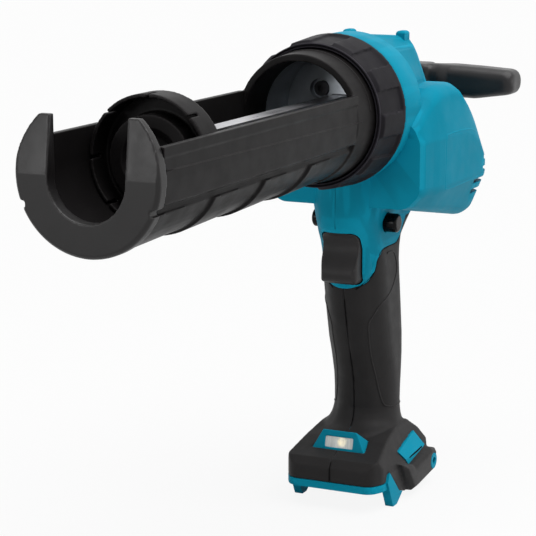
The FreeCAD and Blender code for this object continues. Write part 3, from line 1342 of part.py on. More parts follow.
def side_panel(proud):
    """Bare panel on the foot's leaning side, framed by the soft cover."""
    outline = []
    for along, up in SIDE_PANEL_SHARES:
        x = FOOT_REAR_X - SIDE_PANEL_REAR + SIDE_PANEL_LENGTH * along
        outline.append((x, SIDE_PANEL_LOW + SIDE_PANEL_HEIGHT * up))
    window = prism_y(outline, FOOT_TOP_HALF_WIDTH - COVER, FOOT_HALF_WIDTH + OVERRUN)
    return window.common(foot(-proud, FOOT_FLOOR)).cut(foot(COVER, FOOT_FLOOR))


def hook_place():
    return FOOT_REAR_X - HOOK_BLOCK_SETBACK, HOOK_BLOCK_LOW + HOOK_INSERT_RISE


def hook_insert_body():
    x, z = hook_place()
    return disc_y(HOOK_INSERT_R, FOOT_HALF_WIDTH - COVER, FOOT_HALF_WIDTH + HOOK_BLOCK_DEPTH, x, z)


def hook_insert():
    x, z = hook_place()
    inner = FOOT_HALF_WIDTH - COVER
    outer = FOOT_HALF_WIDTH + HOOK_BLOCK_DEPTH
    return hook_insert_body().cut(disc_y(HOOK_THREAD_R, inner - OVERRUN, outer + OVERRUN, x, z))


def trigger_column(grow, corner, x0, x1):
    """Rounded column along X, as wide and high as the trigger and more by grow on every side."""
    wide = TRIGGER_HALF_WIDTH + grow
    low = TRIGGER_BOTTOM_Z - grow
    high = TRIGGER_TOP_Z + grow
    corners = [vec(x0, -wide, low), vec(x0, wide, low), vec(x0, wide, high), vec(x0, -wide, high)]
    return Part.Face(rounded_wire(corners, [corner] * len(corners))).extrude(vec(x1 - x0, 0, 0))


def trigger_opening():
    rear = TRIGGER_REAR_X + TRIGGER_TRAVEL + TRIGGER_GAP
    return trigger_column(TRIGGER_GAP, TRIGGER_CORNER + TRIGGER_GAP, TRIGGER_FRONT_X - GRIP_DEPTH, rear)


def trigger_surround():
    """Lip of the housing round the trigger, rounded at its front."""
    lip = trigger_column(TRIGGER_GAP + SURROUND_WALL, SURROUND_CORNER, SURROUND_FRONT_X, GRIP_X)
    front = [edge for edge in lip.Edges if edge.BoundBox.XMax < SURROUND_FRONT_X + OVERRUN]
    return lip.makeFillet(SURROUND_EDGE, front)


def lock_hole():
    reach = BLOCK_HALF_WIDTH
    return disc_y(LOCK_R + RUNNING_GAP, -reach, reach, LOCK_X, LOCK_Z)


def vents():
    slots = []
    for k, share in enumerate(VENT_LENGTH_SHARES):
        top = AXIS_HEIGHT - VENT_TOP - k * VENT_PITCH
        slot = box(BLOCK_REAR_X - VENT_LENGTH * share, BLOCK_REAR_X + OVERRUN, BLOCK_HALF_WIDTH / 2,
                   BLOCK_HALF_WIDTH + OVERRUN, top - VENT_HEIGHT, top)
        slots += [slot, mirrored(slot)]
    return slots


def ears():
    top = AXIS_HEIGHT + TOWER_TOP
    ear = box(EAR_X - EAR_LENGTH / 2, EAR_X + EAR_LENGTH / 2, EAR_Y - EAR_WIDTH / 2, EAR_Y + EAR_WIDTH / 2,
              top - 2 * EAR_HEIGHT, top + EAR_HEIGHT)
    upper = [edge for edge in ear.Edges if edge.BoundBox.ZMin > top]
    ear = ear.makeFillet(EAR_ROUNDING, upper)
    return [ear, mirrored(ear)]


def rails():
    """Battery rails under the foot, with lips that face each other behind the treads."""
    front = FOOT_FRONT_X + RAIL_FRONT
    rear = front + RAIL_LENGTH
    step = front + RAIL_TREAD
    outer = FOOT_HALF_WIDTH
    inner = outer - RAIL_WIDTH
    under = [
        (front, 0.0),
        (step, 0.0),
        (step + RAIL_RUN, RAIL_RISE),
        (rear, RAIL_RISE),
        (rear, FOOT_COVER_Z),
    ]
    web = prism_y(under + rail_panel()[::-1], inner, outer)
    lip = box(step, rear, inner - RAIL_LIP, inner, RAIL_RISE, RAIL_RISE + RAIL_LIP_HEIGHT)
    rail = fuse([web, lip])
    return [rail, mirrored(rail)]


def cover_shell():
    """Soft cover on the grip and the foot, both halves together."""
    outer = fuse([grip(0.0), foot(0.0, FOOT_FLOOR)])
    inner = fuse([grip(COVER), foot(COVER, FOOT_FLOOR)])
    shell = outer.cut(inner).common(cover_zone()).cut(motor_block(0.0))
    shell = fuse([shell, hook_block(), mirrored(hook_block())])
    panel = side_panel(SIDE_PANEL_PROUD)
    inserts = [hook_insert_body(), mirrored(hook_insert_body())]
    tools = inserts + [panel, mirrored(panel), trigger_opening(), trigger_surround(), lamp_bezel_body()]
    return cut(shell, tools + housing_wells())


def lamp_bezel_body():
    """Wedge on the foot's front: a steep face that narrows upwards and a back that falls to the foot."""
    corners = [
        (LAMP_FRONT_X, LAMP_HALF_WIDTH, LAMP_LOW),
        (LAMP_FRONT_X + LAMP_LEAN, LAMP_TOP_HALF_WIDTH, LAMP_LOW + LAMP_HEIGHT),
        (LAMP_FRONT_X + LAMP_DEPTH, LAMP_REAR_HALF_WIDTH, LAMP_LOW + LAMP_REAR_RISE),
    ]
    left = [vec(x, y, z) for x, y, z in corners]
    right = [vec(x, -y, z) for x, y, z in corners]
    return Part.makeLoft([Part.makePolygon(left + left[:1]), Part.makePolygon(right + right[:1])], True, True)


def lamp_plate(half_length, half_width, low, high):
    """A plate square to the lamp's face, centred on its window."""
    plate = box(-half_length, half_length, -half_width, half_width, low, high)
    plate.rotate(ORIGIN, Y_AXIS, -LAMP_TILT)
    plate.translate(vec(LAMP_X, 0, LAMP_Z))
    return plate


def lamp_window(low, high):
    return lamp_plate(LAMP_WINDOW_HALF_LENGTH, LAMP_WINDOW_HALF_WIDTH, low, high)


def lamp_bezel():
    return lamp_bezel_body().cut(lamp_window(-LAMP_POCKET, OVERRUN))


def lamp_lens():
    return lamp_window(-LAMP_LENS_SET - LAMP_LENS_THICKNESS, -LAMP_LENS_SET)


def lamp_board():
    high = LAMP_BOARD_THICKNESS - LAMP_POCKET
    led = lamp_plate(LED_SIZE / 2, LED_SIZE / 2, high, high + LED_HEIGHT)
    return fuse([lamp_window(-LAMP_POCKET, high), led])


def switch_block():
    """Switch body with a bore for the trigger's plunger."""
    low = PLUNGER_Z - SWITCH_HEIGHT / 2
    body = bar(SWITCH_HALF_WIDTH, SWITCH_FRONT_X, SWITCH_FRONT_X + SWITCH_LENGTH, low, low + SWITCH_HEIGHT)
    end = TRIGGER_REAR_X + PLUNGER_LENGTH + TRIGGER_TRAVEL + SWITCH_GAP
    return body.cut(disc_x(PLUNGER_R + RUNNING_GAP, SWITCH_FRONT_X - OVERRUN, end, 0.0, PLUNGER_Z))


def switch_ribs():
    """Ribs in the housing that hold the switch from both sides."""
    middle = SWITCH_FRONT_X + SWITCH_LENGTH / 2
    rib = box(middle - HOUSING_WALL, middle + HOUSING_WALL, SWITCH_HALF_WIDTH,
              GRIP_HALF_WIDTH - COVER, PLUNGER_Z - HOUSING_WALL, PLUNGER_Z + HOUSING_WALL)
    return [rib, mirrored(rib)]


def terminal_block():
    front = FOOT_FRONT_X + RAIL_FRONT + RAIL_LENGTH - TERMINAL_LENGTH
    return bar(TERMINAL_HALF_WIDTH, front, front + TERMINAL_LENGTH, FOOT_FLOOR - TERMINAL_HEIGHT, FOOT_FLOOR)


def terminal_blades():
    rear = FOOT_FRONT_X + RAIL_FRONT + RAIL_LENGTH - TERMINAL_LENGTH
    high = FOOT_FLOOR - TERMINAL_HEIGHT / 4
    blades = []
    for y in (-BLADE_Y, BLADE_Y):
        blades.append(box(rear - BLADE_LENGTH, rear, y - BLADE_THICKNESS / 2, y + BLADE_THICKNESS / 2,
                          high - BLADE_DROP / 2, high))
    return Part.makeCompound(blades)


def housing_screw_places():
    """Places of the housing screws, along the motor block and up from the rails' bottom."""
    return [(BLOCK_FRONT_X + BLOCK_LENGTH * along, AXIS_HEIGHT * up) for along, up in HOUSING_SCREW_SHARES]


def housing_screw_shank(x, z):
    half = HOUSING_SCREW_LENGTH / 2
    return disc_y(HOUSING_SCREW_R, -half, half, x, z)


def housing_screws():
    half = HOUSING_SCREW_LENGTH / 2
    screws = []
    for x, z in housing_screw_places():
        head = disc_y(HOUSING_SCREW_HEAD_R, half, half + HOUSING_SCREW_HEAD, x, z)
        screws.append(fuse([head, housing_screw_shank(x, z)]))
    return Part.makeCompound(screws)


def housing_bosses():
    half = BLOCK_HALF_WIDTH
    return [disc_y(HOUSING_BOSS_R, -half, half, x, z) for x, z in housing_screw_places()]


def housing_wells():
    """Holes for the screws, which enter from the left side."""
    half = HOUSING_SCREW_LENGTH / 2
    wells = []
    for x, z in housing_screw_places():
        wells.append(housing_screw_shank(x, z))
        wells.append(disc_y(HOUSING_SCREW_HEAD_R + HOUSING_WELL_PLAY, half, BLOCK_HALF_WIDTH + OVERRUN, x, z))
    return wells


def gear_room():
    """Room in the housing round the final gear."""
    tip = FINAL_R + FINAL_MODULE * ADDENDUM_SHARE + RUNNING_GAP
    return disc_y(tip, SIDE_PLATE_Y, FINAL_GEAR_END_Y + RUNNING_GAP, PINION_X, PINION_Z)


def housing_shell():
    """Both housing halves together, before the split."""
    forms = [motor_block(0.0), tower(0.0), drum(), grip(0.0), foot(0.0, FOOT_FLOOR), trigger_surround()]
    outer = fuse(forms + ears() + rails())
    core = COVER + HOUSING_WALL
    hollow = fuse([
        motor_block(HOUSING_WALL),
        tower(HOUSING_WALL),
        drum_space(),
        grip(core),
        foot(core, FOOT_FLOOR + HOUSING_WALL),
    ])
    ribs = fuse(switch_ribs()).common(grip(COVER))
    bosses = [boss.common(outer) for boss in housing_bosses()]
    shell = fuse([outer.cut(hollow), ribs] + bosses).cut(cover_shell())
    panel = side_panel(SIDE_PANEL_PROUD)
    shell = fuse([shell, panel, mirrored(panel)])
    rod_exit = rod_window(BLOCK_FRONT_X, BLOCK_REAR_X + OVERRUN)
    inserts = [hook_insert_body(), mirrored(hook_insert_body())]
    tools = [trigger_opening(), lock_hole(), rod_exit, gear_room(), lamp_bezel_body()] + inserts + vents()
    return cut(shell, tools + housing_wells())


def half_space(side):
    reach = 2 * AXIS_HEIGHT
    return box(-reach, reach, min(0.0, side * reach), max(0.0, side * reach), -OVERRUN, reach)


# Controls
def trigger():
    """Finger lever with a hollow front, sliding straight back."""
    low = TRIGGER_BOTTOM_Z
    high = TRIGGER_TOP_Z
    front = TRIGGER_FRONT_X
    outline = [
        vec(front, 0, high),
        vec(front + TRIGGER_HOLLOW, 0, (low + high) / 2),
        vec(front - TRIGGER_HOLLOW / 2, 0, low + TRIGGER_ROUNDING),
        vec(front + TRIGGER_ROUNDING, 0, low),
        vec(TRIGGER_REAR_X, 0, low),
        vec(TRIGGER_REAR_X, 0, high),
    ]
    curve = Part.BSplineCurve()
    curve.interpolate(outline[:4])
    edges = [curve.toShape()]
    for a, b in ((3, 4), (4, 5), (5, 0)):
        edges.append(Part.LineSegment(outline[a], outline[b]).toShape())
    body = Part.Face(Part.Wire(edges)).extrude(vec(0, TRIGGER_HALF_WIDTH, 0))
    body = fuse([body, mirrored(body)])
    side = [
        vec(front - TRIGGER_HOLLOW, -TRIGGER_HALF_WIDTH, low),
        vec(TRIGGER_REAR_X, -TRIGGER_HALF_WIDTH, low),
        vec(TRIGGER_REAR_X, TRIGGER_HALF_WIDTH, low),
        vec(front - TRIGGER_HOLLOW, TRIGGER_HALF_WIDTH, low),
    ]
    rear_round = TRIGGER_ROUNDING * TRIGGER_REAR_ROUND_SHARE
    wire = rounded_wire(side, [TRIGGER_ROUNDING, rear_round, rear_round, TRIGGER_ROUNDING])
    body = body.common(Part.Face(wire).extrude(vec(0, 0, TRIGGER_HEIGHT)))
    body = body.common(trigger_column(0.0, TRIGGER_CORNER, front - TRIGGER_DEPTH, TRIGGER_REAR_X))
    step = bar(2 * TRIGGER_HALF_WIDTH, front + TRIGGER_CREST, TRIGGER_REAR_X + OVERRUN,
               high - TRIGGER_STEP, high + OVERRUN)
    plunger = disc_x(PLUNGER_R, TRIGGER_REAR_X - OVERRUN, TRIGGER_REAR_X + PLUNGER_LENGTH, 0.0, PLUNGER_Z)
    return fuse([body.cut(step), plunger])


def lock_button():
    """Cross-push button with ribbed ends and a stop collar inside the neck."""
    reach = LOCK_REACH
    body = disc_y(LOCK_R, -reach, reach, LOCK_X, LOCK_Z)
    ends = [edge for edge in body.Edges if edge.Closed]
    body = body.makeChamfer(LOCK_END_CUT, ends)
    return fuse([body, disc_y(LOCK_COLLAR_R, -LOCK_COLLAR_HALF, LOCK_COLLAR_HALF, LOCK_X, LOCK_Z)])


def build():
    """Every node by name."""
    shell = housing_shell()
    cover = cover_shell()
    nodes = {
        "holder_channel": holder_channel(),
        "holder_front": holder_front(),
        "collar_ring": collar_ring(),
        "rod_rack": rod_rack(),
        "piston": piston(),
        "piston_screw": piston_screw(),
        "rear_handle": rear_handle(),
        "handle_pin": handle_pin(),
        "gear_case_nose": gear_case_nose(),
        "gear_case_body": gear_case_body(),
        "case_screws": case_screws(),
        "side_plate": side_plate(),
        "bush_left": bush(),
        "bush_right": mirrored(bush()),
        "pinion_shaft": pinion_shaft(),
        "rack_pinion": rack_pinion(),
        "clutch_sleeve": clutch_sleeve(),
        "final_gear": final_gear(),
        "output_pinion": output_pinion(),
        "first_carrier": first_carrier(),
        "second_carrier": second_carrier(),
        "ring_gear": ring_gear(),
        "motor_can": motor_can(),
        "motor_cap": motor_cap(),
        "rotor": rotor(),
        "armature": armature(),
        "fan": fan(),
        "housing_screws": housing_screws(),
        "housing_left": shell.common(half_space(1)),
        "housing_right": shell.common(half_space(-1)),
        "grip_cover_left": cover.common(half_space(1)),
        "grip_cover_right": cover.common(half_space(-1)),
        "trigger": trigger(),
        "lock_button": lock_button(),
        "switch_block": switch_block(),
        "lamp_bezel": lamp_bezel(),
        "lamp_lens": lamp_lens(),
        "lamp_board": lamp_board(),
        "terminal_block": terminal_block(),
        "terminal_blades": terminal_blades(),
        "hook_insert_left": hook_insert(),
        "hook_insert_right": mirrored(hook_insert()),
    }
    for k in range(PLANETS):
        nodes["first_planet_%d" % (k + 1)] = planet(k, FIRST_STAGE_START, FIRST_STAGE_WIDTH)
        nodes["second_planet_%d" % (k + 1)] = planet(k, SECOND_STAGE_START, SECOND_STAGE_WIDTH)
    return nodes


os.makedirs("parts", exist_ok=True)
for name, shape in build().items():
    solids = shape.Solids
    print(name, "solids", len(solids), "valid", shape.isValid(), "volume", round(shape.Volume, 1))
    shape.exportStep("parts/%s.step" % name)
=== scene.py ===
import math

import bmesh
import bpy
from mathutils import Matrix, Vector
from mathutils.bvhtree import BVHTree


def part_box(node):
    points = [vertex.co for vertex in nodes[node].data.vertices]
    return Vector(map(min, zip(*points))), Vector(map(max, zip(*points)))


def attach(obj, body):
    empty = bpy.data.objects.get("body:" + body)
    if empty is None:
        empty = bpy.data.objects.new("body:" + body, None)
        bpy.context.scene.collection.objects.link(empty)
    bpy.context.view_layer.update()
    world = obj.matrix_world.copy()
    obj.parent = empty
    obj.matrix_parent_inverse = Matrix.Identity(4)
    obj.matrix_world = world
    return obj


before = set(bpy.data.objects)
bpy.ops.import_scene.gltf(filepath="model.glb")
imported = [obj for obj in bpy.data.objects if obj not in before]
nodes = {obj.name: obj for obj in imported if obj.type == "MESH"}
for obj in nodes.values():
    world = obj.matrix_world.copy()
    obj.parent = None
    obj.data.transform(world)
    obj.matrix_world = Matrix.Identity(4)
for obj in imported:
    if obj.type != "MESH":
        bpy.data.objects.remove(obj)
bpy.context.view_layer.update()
scene = bpy.context.scene

MM = 0.001
AXIS_Z = 196.0  # axis of the holder and the push rod above the floor, in millimetres

# Materials. Object coordinates are the row frame's, in metres, so a scale of 1000 is one cell a millimetre.
NOISE_ROUGHNESS = 0.55
COARSE_DETAIL = 2.0
USUAL_DETAIL = 3.0
FINE_DETAIL = 4.0
EDGE_POINTINESS = (0.51, 0.56)  # from a flat face to a sharp edge
# Largest share of the painted highlight on sharp edges
MOST_EDGE_HIGHLIGHT = 0.6

MOULDED_DRIFT_SCALE = 45.0
MOULDED_PATCH_SCALE = 130.0
MOULDED_GRAIN_SCALE = 1400.0
MOULDED_GRAIN_DEPTH = 0.12 * MM
PLASTIC_ROUGH_SPREAD = (-0.05, 0.06)

COVER_DRIFT_SCALE = 60.0
COVER_DRIFT = (0.88, 1.14)
COVER_PATCH_SCALE = 210.0
COVER_PEBBLE_SCALE = 1900.0
COVER_PEBBLE_RELIEF = 0.25
COVER_PEBBLE_DEPTH = 0.10 * MM
COVER_SHEEN = 0.06
COVER_SHEEN_ROUGHNESS = 0.5

METAL_DRIFT_SCALE = 70.0
METAL_ROUGH_SPREAD = (-0.07, 0.09)

NOSE_BARE_RADIUS = 27.6
FINISH_BLEND = 0.3
BLACK_FINISH = (0.012, 0.012, 0.013, 1.0)

WINDOW_RIB_STRETCH = (0.2, 3.0, 0.2)
WINDOW_RIB_SCALE = 900.0
WINDOW_RIB_RELIEF = 0.10
WINDOW_RIB_DEPTH = 0.08 * MM
WINDOW_DRIFT = (0.85, 1.05)
WINDOW_ROUGHNESS = (0.10, 0.20)
WINDOW_ALPHA_SPREAD = 0.06

PHOSPHOR_SCALE = 2500.0
PHOSPHOR_DRIFT = (0.9, 1.0)
PHOSPHOR_ROUGHNESS = 0.3


def start(name):
    material = bpy.data.materials.new(name)
    material.use_nodes = True
    tree = material.node_tree
    return material, tree, tree.nodes["Principled BSDF"]


def add(tree, kind, **values):
    node = tree.nodes.new(kind)
    for key, value in values.items():
        if hasattr(node, key):
            setattr(node, key, value)
        else:
            node.inputs[key.replace("_", " ")].default_value = value
    return node


def feed(tree, value, shader, socket):
    tree.links.new(value, shader.inputs[socket])


def coordinates(tree, stretch=(1.0, 1.0, 1.0)):
    source = tree.nodes.new("ShaderNodeTexCoord")
    mapping = tree.nodes.new("ShaderNodeMapping")
    mapping.inputs["Scale"].default_value = stretch
    tree.links.new(source.outputs["Object"], mapping.inputs["Vector"])
    return mapping.outputs["Vector"]


def noise(tree, vector, scale, detail=USUAL_DETAIL):
    node = add(tree, "ShaderNodeTexNoise", Scale=scale, Detail=detail, Roughness=NOISE_ROUGHNESS)
    tree.links.new(vector, node.inputs["Vector"])
    return node.outputs["Fac"]


def spread(tree, value, low, high, least=0.3, most=0.7):
    """Carries a value between least and most over to the range from low to high."""
    node = add(tree, "ShaderNodeMapRange")
    node.inputs["From Min"].default_value = least
    node.inputs["From Max"].default_value = most
    node.inputs["To Min"].default_value = low
    node.inputs["To Max"].default_value = high
    tree.links.new(value, node.inputs["Value"])
    return node.outputs["Result"]


def tinted(colour, factor):
    return tuple(min(1.0, c * factor) for c in colour) + (1.0,)


def two_tones(tree, value, first, second):
    node = tree.nodes.new("ShaderNodeMix")
    node.data_type = "RGBA"
    tree.links.new(value, node.inputs[0])
    for socket, colour in ((6, first), (7, second)):
        if isinstance(colour, tuple):
            node.inputs[socket].default_value = colour
        else:
            tree.links.new(colour, node.inputs[socket])
    return node.outputs[2]


def shaded(tree, value, colour, dark, light):
    """A colour that goes from a dark to a light share of itself as the value goes from 0 to 1."""
    return two_tones(tree, value, tinted(colour, dark), tinted(colour, light))


def edges(tree):
    geometry = tree.nodes.new("ShaderNodeNewGeometry")
    return spread(tree, geometry.outputs["Pointiness"], 0.0, 1.0, *EDGE_POINTINESS)


def bump(tree, shader, height, strength, depth):
    node = add(tree, "ShaderNodeBump", Strength=strength, Distance=depth)
    tree.links.new(height, node.inputs["Height"])
    feed(tree, node.outputs["Normal"], shader, "Normal")


def rough_patches(tree, shader, value, rough, margins):
    below, above = margins
    feed(tree, spread(tree, value, rough + below, rough + above), shader, "Roughness")


def moulded(name, colour, rough, relief=0.12, drift=0.10, edge_highlight=1.5, specular=0.4, flow=(1, 1, 1)):
    """Moulded plastic: a spark-eroded grain, a slow drift of tone and a painted highlight that lightens the
    sharp edges.
    """
    material, tree, shader = start(name)
    vector = coordinates(tree)
    slow = spread(tree, noise(tree, coordinates(tree, flow), MOULDED_DRIFT_SCALE), 0.0, 1.0)
    body = shaded(tree, slow, colour, 1.0 - drift, 1.0 + drift)
    # Painted highlight: sharp edges get a lighter copy of the colour
    edge_light = spread(tree, edges(tree), 0.0, MOST_EDGE_HIGHLIGHT, 0.0, 1.0)
    feed(tree, two_tones(tree, edge_light, body, tinted(colour, edge_highlight)), shader, "Base Color")
    patch = noise(tree, vector, MOULDED_PATCH_SCALE, FINE_DETAIL)
    rough_patches(tree, shader, patch, rough, PLASTIC_ROUGH_SPREAD)
    grain = noise(tree, vector, MOULDED_GRAIN_SCALE, COARSE_DETAIL)
    bump(tree, shader, grain, relief, MOULDED_GRAIN_DEPTH)
    shader.inputs["Specular IOR Level"].default_value = specular
    return material


def rubbery(name, colour, rough, specular):
    """Soft overmoulded cover: matt, with a fine pebble and a little sheen."""
    material, tree, shader = start(name)
    vector = coordinates(tree)
    slow = spread(tree, noise(tree, vector, COVER_DRIFT_SCALE, FINE_DETAIL), 0.0, 1.0)
    feed(tree, shaded(tree, slow, colour, *COVER_DRIFT), shader, "Base Color")
    rough_patches(tree, shader, noise(tree, vector, COVER_PATCH_SCALE), rough, PLASTIC_ROUGH_SPREAD)
    cells = add(tree, "ShaderNodeTexVoronoi", Scale=COVER_PEBBLE_SCALE)
    tree.links.new(vector, cells.inputs["Vector"])
    bump(tree, shader, cells.outputs["Distance"], COVER_PEBBLE_RELIEF, COVER_PEBBLE_DEPTH)
    shader.inputs["Specular IOR Level"].default_value = specular
    shader.inputs["Sheen Weight"].default_value = COVER_SHEEN
    shader.inputs["Sheen Roughness"].default_value = COVER_SHEEN_ROUGHNESS
    return material


def metal(name, colour, rough, stretch=(1, 1, 1), scale=900.0, relief=0.08, drift=0.12, depth=0.08):
    """Bare or plated metal, brushed along the axis that the stretch flattens; depth in millimetres."""
    material, tree, shader = start(name)
    lines = noise(tree, coordinates(tree, stretch), scale, FINE_DETAIL)
    slow = spread(tree, noise(tree, coordinates(tree), METAL_DRIFT_SCALE, FINE_DETAIL), 0.0, 1.0)
    feed(tree, shaded(tree, slow, colour, 1.0 - drift, 1.0 + drift), shader, "Base Color")
    rough_patches(tree, shader, lines, rough, METAL_ROUGH_SPREAD)
    bump(tree, shader, lines, relief, depth * MM)
    shader.inputs["Metallic"].default_value = 1.0
    return material


def blackened_outside(material, radius):
    """Bare metal inside a radius about the holder's axis, black finish outside it."""
    tree = material.node_tree
    shader = tree.nodes["Principled BSDF"]
    bare = shader.inputs["Base Color"].links[0].from_socket
    moved = add(tree, "ShaderNodeVectorMath", operation="SUBTRACT")
    moved.inputs[1].default_value = (0.0, 0.0, AXIS_Z * MM)
    tree.links.new(coordinates(tree), moved.inputs[0])
    across = add(tree, "ShaderNodeVectorMath", operation="MULTIPLY")
    across.inputs[1].default_value = (0.0, 1.0, 1.0)
    tree.links.new(moved.outputs[0], across.inputs[0])
    length = add(tree, "ShaderNodeVectorMath", operation="LENGTH")
    tree.links.new(across.outputs[0], length.inputs[0])
    inner, outer = (radius - FINISH_BLEND) * MM, (radius + FINISH_BLEND) * MM
    outside = spread(tree, length.outputs["Value"], 0.0, 1.0, inner, outer)
    feed(tree, two_tones(tree, outside, bare, BLACK_FINISH), shader, "Base Color")
    return material


def window(name, colour, seen):
    """Frosted lamp window with fine upright ribs; a share of it lets what is behind show."""
    material, tree, shader = start(name)
    ribs = noise(tree, coordinates(tree, WINDOW_RIB_STRETCH), WINDOW_RIB_SCALE, COARSE_DETAIL)
    feed(tree, shaded(tree, spread(tree, ribs, 0.0, 1.0), colour, *WINDOW_DRIFT), shader, "Base Color")
    feed(tree, spread(tree, ribs, *WINDOW_ROUGHNESS), shader, "Roughness")
    feed(tree, spread(tree, ribs, 1.0 - seen, 1.0 + WINDOW_ALPHA_SPREAD - seen), shader, "Alpha")
    bump(tree, shader, ribs, WINDOW_RIB_RELIEF, WINDOW_RIB_DEPTH)
    return material


def glowing(name, colour, strength):
    """Phosphor of the work lamp, which is off; its glow is painted light for the phosphor's brightness."""
    material, tree, shader = start(name)
    cells = spread(tree, noise(tree, coordinates(tree), PHOSPHOR_SCALE), 0.0, 1.0)
    feed(tree, shaded(tree, cells, colour, *PHOSPHOR_DRIFT), shader, "Base Color")
    shader.inputs["Roughness"].default_value = PHOSPHOR_ROUGHNESS
    shader.inputs["Emission Color"].default_value = tinted(colour, 1.0)
    shader.inputs["Emission Strength"].default_value = strength
    return material


TEAL = (0.0030, 0.225, 0.335)
HOLDER_BLACK = (0.0075, 0.0068, 0.0070)
COLLAR_BLACK = (0.0100, 0.0092, 0.0115)
TRIGGER_GREY = (0.0240, 0.0225, 0.0230)
HANDLE_GREY = (0.0200, 0.0190, 0.0200)
BUTTON_BLACK = (0.0028, 0.0027, 0.0030)
INNER_GREY = (0.0150, 0.0150, 0.0150)
COVER_GREY = (0.0150, 0.0140, 0.0142)
GAP_BLACK = (0.0016, 0.0016, 0.0018)
BOARD_WHITE = (0.70, 0.70, 0.66)
ALONG_X = (0.04, 1.0, 1.0)
ALONG_Y = (1.0, 0.05, 1.0)
HOLDER_FLOW = (0.25, 1, 1)

nose_metal = metal(
    "nose_casting", (0.40, 0.43, 0.46), 0.42, scale=700.0, relief=0.25, drift=0.15, depth=0.2
)
# Each moulded look's edge factor lightens its sharp edges as a painted highlight
looks = {
    "teal": moulded("teal_plastic", TEAL, 0.50, relief=0.10, drift=0.05, edge_highlight=1.35, specular=0.035),
    "holder": moulded(
        "holder_plastic", HOLDER_BLACK, 0.40, relief=0.12, edge_highlight=3.0, specular=0.07, flow=HOLDER_FLOW
    ),
    "front": moulded("front_plate_plastic", HOLDER_BLACK, 0.38, relief=0.16, edge_highlight=2.6, specular=0.31),
    "collar": moulded("collar_plastic", COLLAR_BLACK, 0.48, relief=0.30, edge_highlight=3.2, specular=0.055),
    "trigger": moulded("trigger_plastic", TRIGGER_GREY, 0.44, relief=0.20, edge_highlight=1.8, specular=0.16),
    "handle": moulded("handle_plastic", HANDLE_GREY, 0.36, relief=0.16, edge_highlight=1.8, specular=0.26),
    "button": moulded("button_plastic", BUTTON_BLACK, 0.22, relief=0.06, edge_highlight=1.8, specular=0.10),
    "inner": moulded("inner_plastic", INNER_GREY, 0.5),
    "cover": rubbery("soft_cover", COVER_GREY, 0.55, specular=0.12),
    "rod": metal("rod_plating", (0.50, 0.50, 0.52), 0.34, ALONG_X),
    "gear": metal("gear_steel", (0.48, 0.47, 0.46), 0.36, ALONG_Y),
    "screw": metal("screw_steel", (0.07, 0.07, 0.075), 0.38, scale=600.0),
    "case": metal(
        "case_casting", (0.30, 0.30, 0.32), 0.30, scale=420.0, relief=0.35, drift=0.25, depth=0.3
    ),
    "nose": blackened_outside(nose_metal, NOSE_BARE_RADIUS),
    "bush": metal("bush_bronze", (0.50, 0.33, 0.15), 0.35),
    "lens": window("lamp_window", (0.86, 0.89, 0.88), seen=0.40),
    "lamp": glowing("lamp_phosphor", (1.0, 0.82, 0.46), strength=3.0),
    "gap": moulded("gap_shade", GAP_BLACK, 0.8, relief=0.05, edge_highlight=1.0, specular=0.05),
    "board": moulded("board_white", BOARD_WHITE, 0.45, relief=0.05, drift=0.04, edge_highlight=1.1),
}
wearing = {
    "teal": "housing_left housing_right lamp_bezel hook_insert_left hook_insert_right",
    "holder": "holder_channel piston",
    "front": "holder_front",
    "collar": "collar_ring",
    "trigger": "trigger",
    "handle": "rear_handle",
    "button": "lock_button",
    "inner": "switch_block terminal_block motor_cap fan",
    "cover": "grip_cover_left grip_cover_right",
    "rod": "rod_rack",
    "nose": "gear_case_nose",
    "case": "gear_case_body side_plate",
    "bush": "bush_left bush_right terminal_blades armature",
    "lens": "lamp_lens",
    "board": "lamp_board",
    "screw": "case_screws housing_screws piston_screw handle_pin",
}
worn_look = {name: look for look, names in wearing.items() for name in names.split()}
for name in nodes:
    nodes[name].data.materials.clear()
    nodes[name].data.materials.append(looks[worn_look.get(name, "gear")])


# Softened edges on the moulded pieces, all by modifiers. Lengths are in millimetres, angles in degrees.
WELD_REACH = 0.005
EASING_SHARE = 0.5
NORMAL_WEIGHT = 50
SHARP_ANGLE = 28
HOUSING_EDGE = 0.5
SOFTENED = {
    # piece: voxel size, smoothing steps, share of the faces kept
    "grip_cover_left": (0.6, 5, 0.22),
    "grip_cover_right": (0.6, 5, 0.22),
    "trigger": (0.4, 8, 0.3),
    "rear_handle": (0.7, 14, 0.35),
    "holder_front": (0.5, 5, 0.2),
    "holder_channel": (0.5, 3, 0.2),
    "collar_ring": (0.5, 3, 0.2),
    "piston": (0.5, 3, 0.25),
    "lamp_bezel": (0.35, 4, 0.3),
    "lock_button": (0.35, 4, 0.3),
}


def welded(name):
    piece = nodes[name]
    weld = piece.modifiers.new("weld", "WELD")
    weld.merge_threshold = WELD_REACH * MM
    return piece


def soften(name, grid, easing, keep):
    """The solid is welded, gridded, eased and thinned."""
    piece = welded(name)
    remesh = piece.modifiers.new("grid", "REMESH")
    remesh.mode = "VOXEL"
    remesh.voxel_size = grid * MM
    remesh.use_smooth_shade = True
    smooth = piece.modifiers.new("ease", "SMOOTH")
    smooth.factor = EASING_SHARE
    smooth.iterations = easing
    thin = piece.modifiers.new("thin", "DECIMATE")
    thin.ratio = keep
    normals = piece.modifiers.new("normals", "WEIGHTED_NORMAL")
    normals.weight = NORMAL_WEIGHT


def eased_edges(name, width):
    """A narrow rounding on the sharp edges of a piece whose facets stay flat."""
    piece = welded(name)
    bevel = piece.modifiers.new("edge", "BEVEL")
    bevel.width = width * MM
    bevel.segments = 2
    bevel.limit_method = "ANGLE"
    bevel.angle_limit = math.radians(SHARP_ANGLE)
    bevel.harden_normals = True


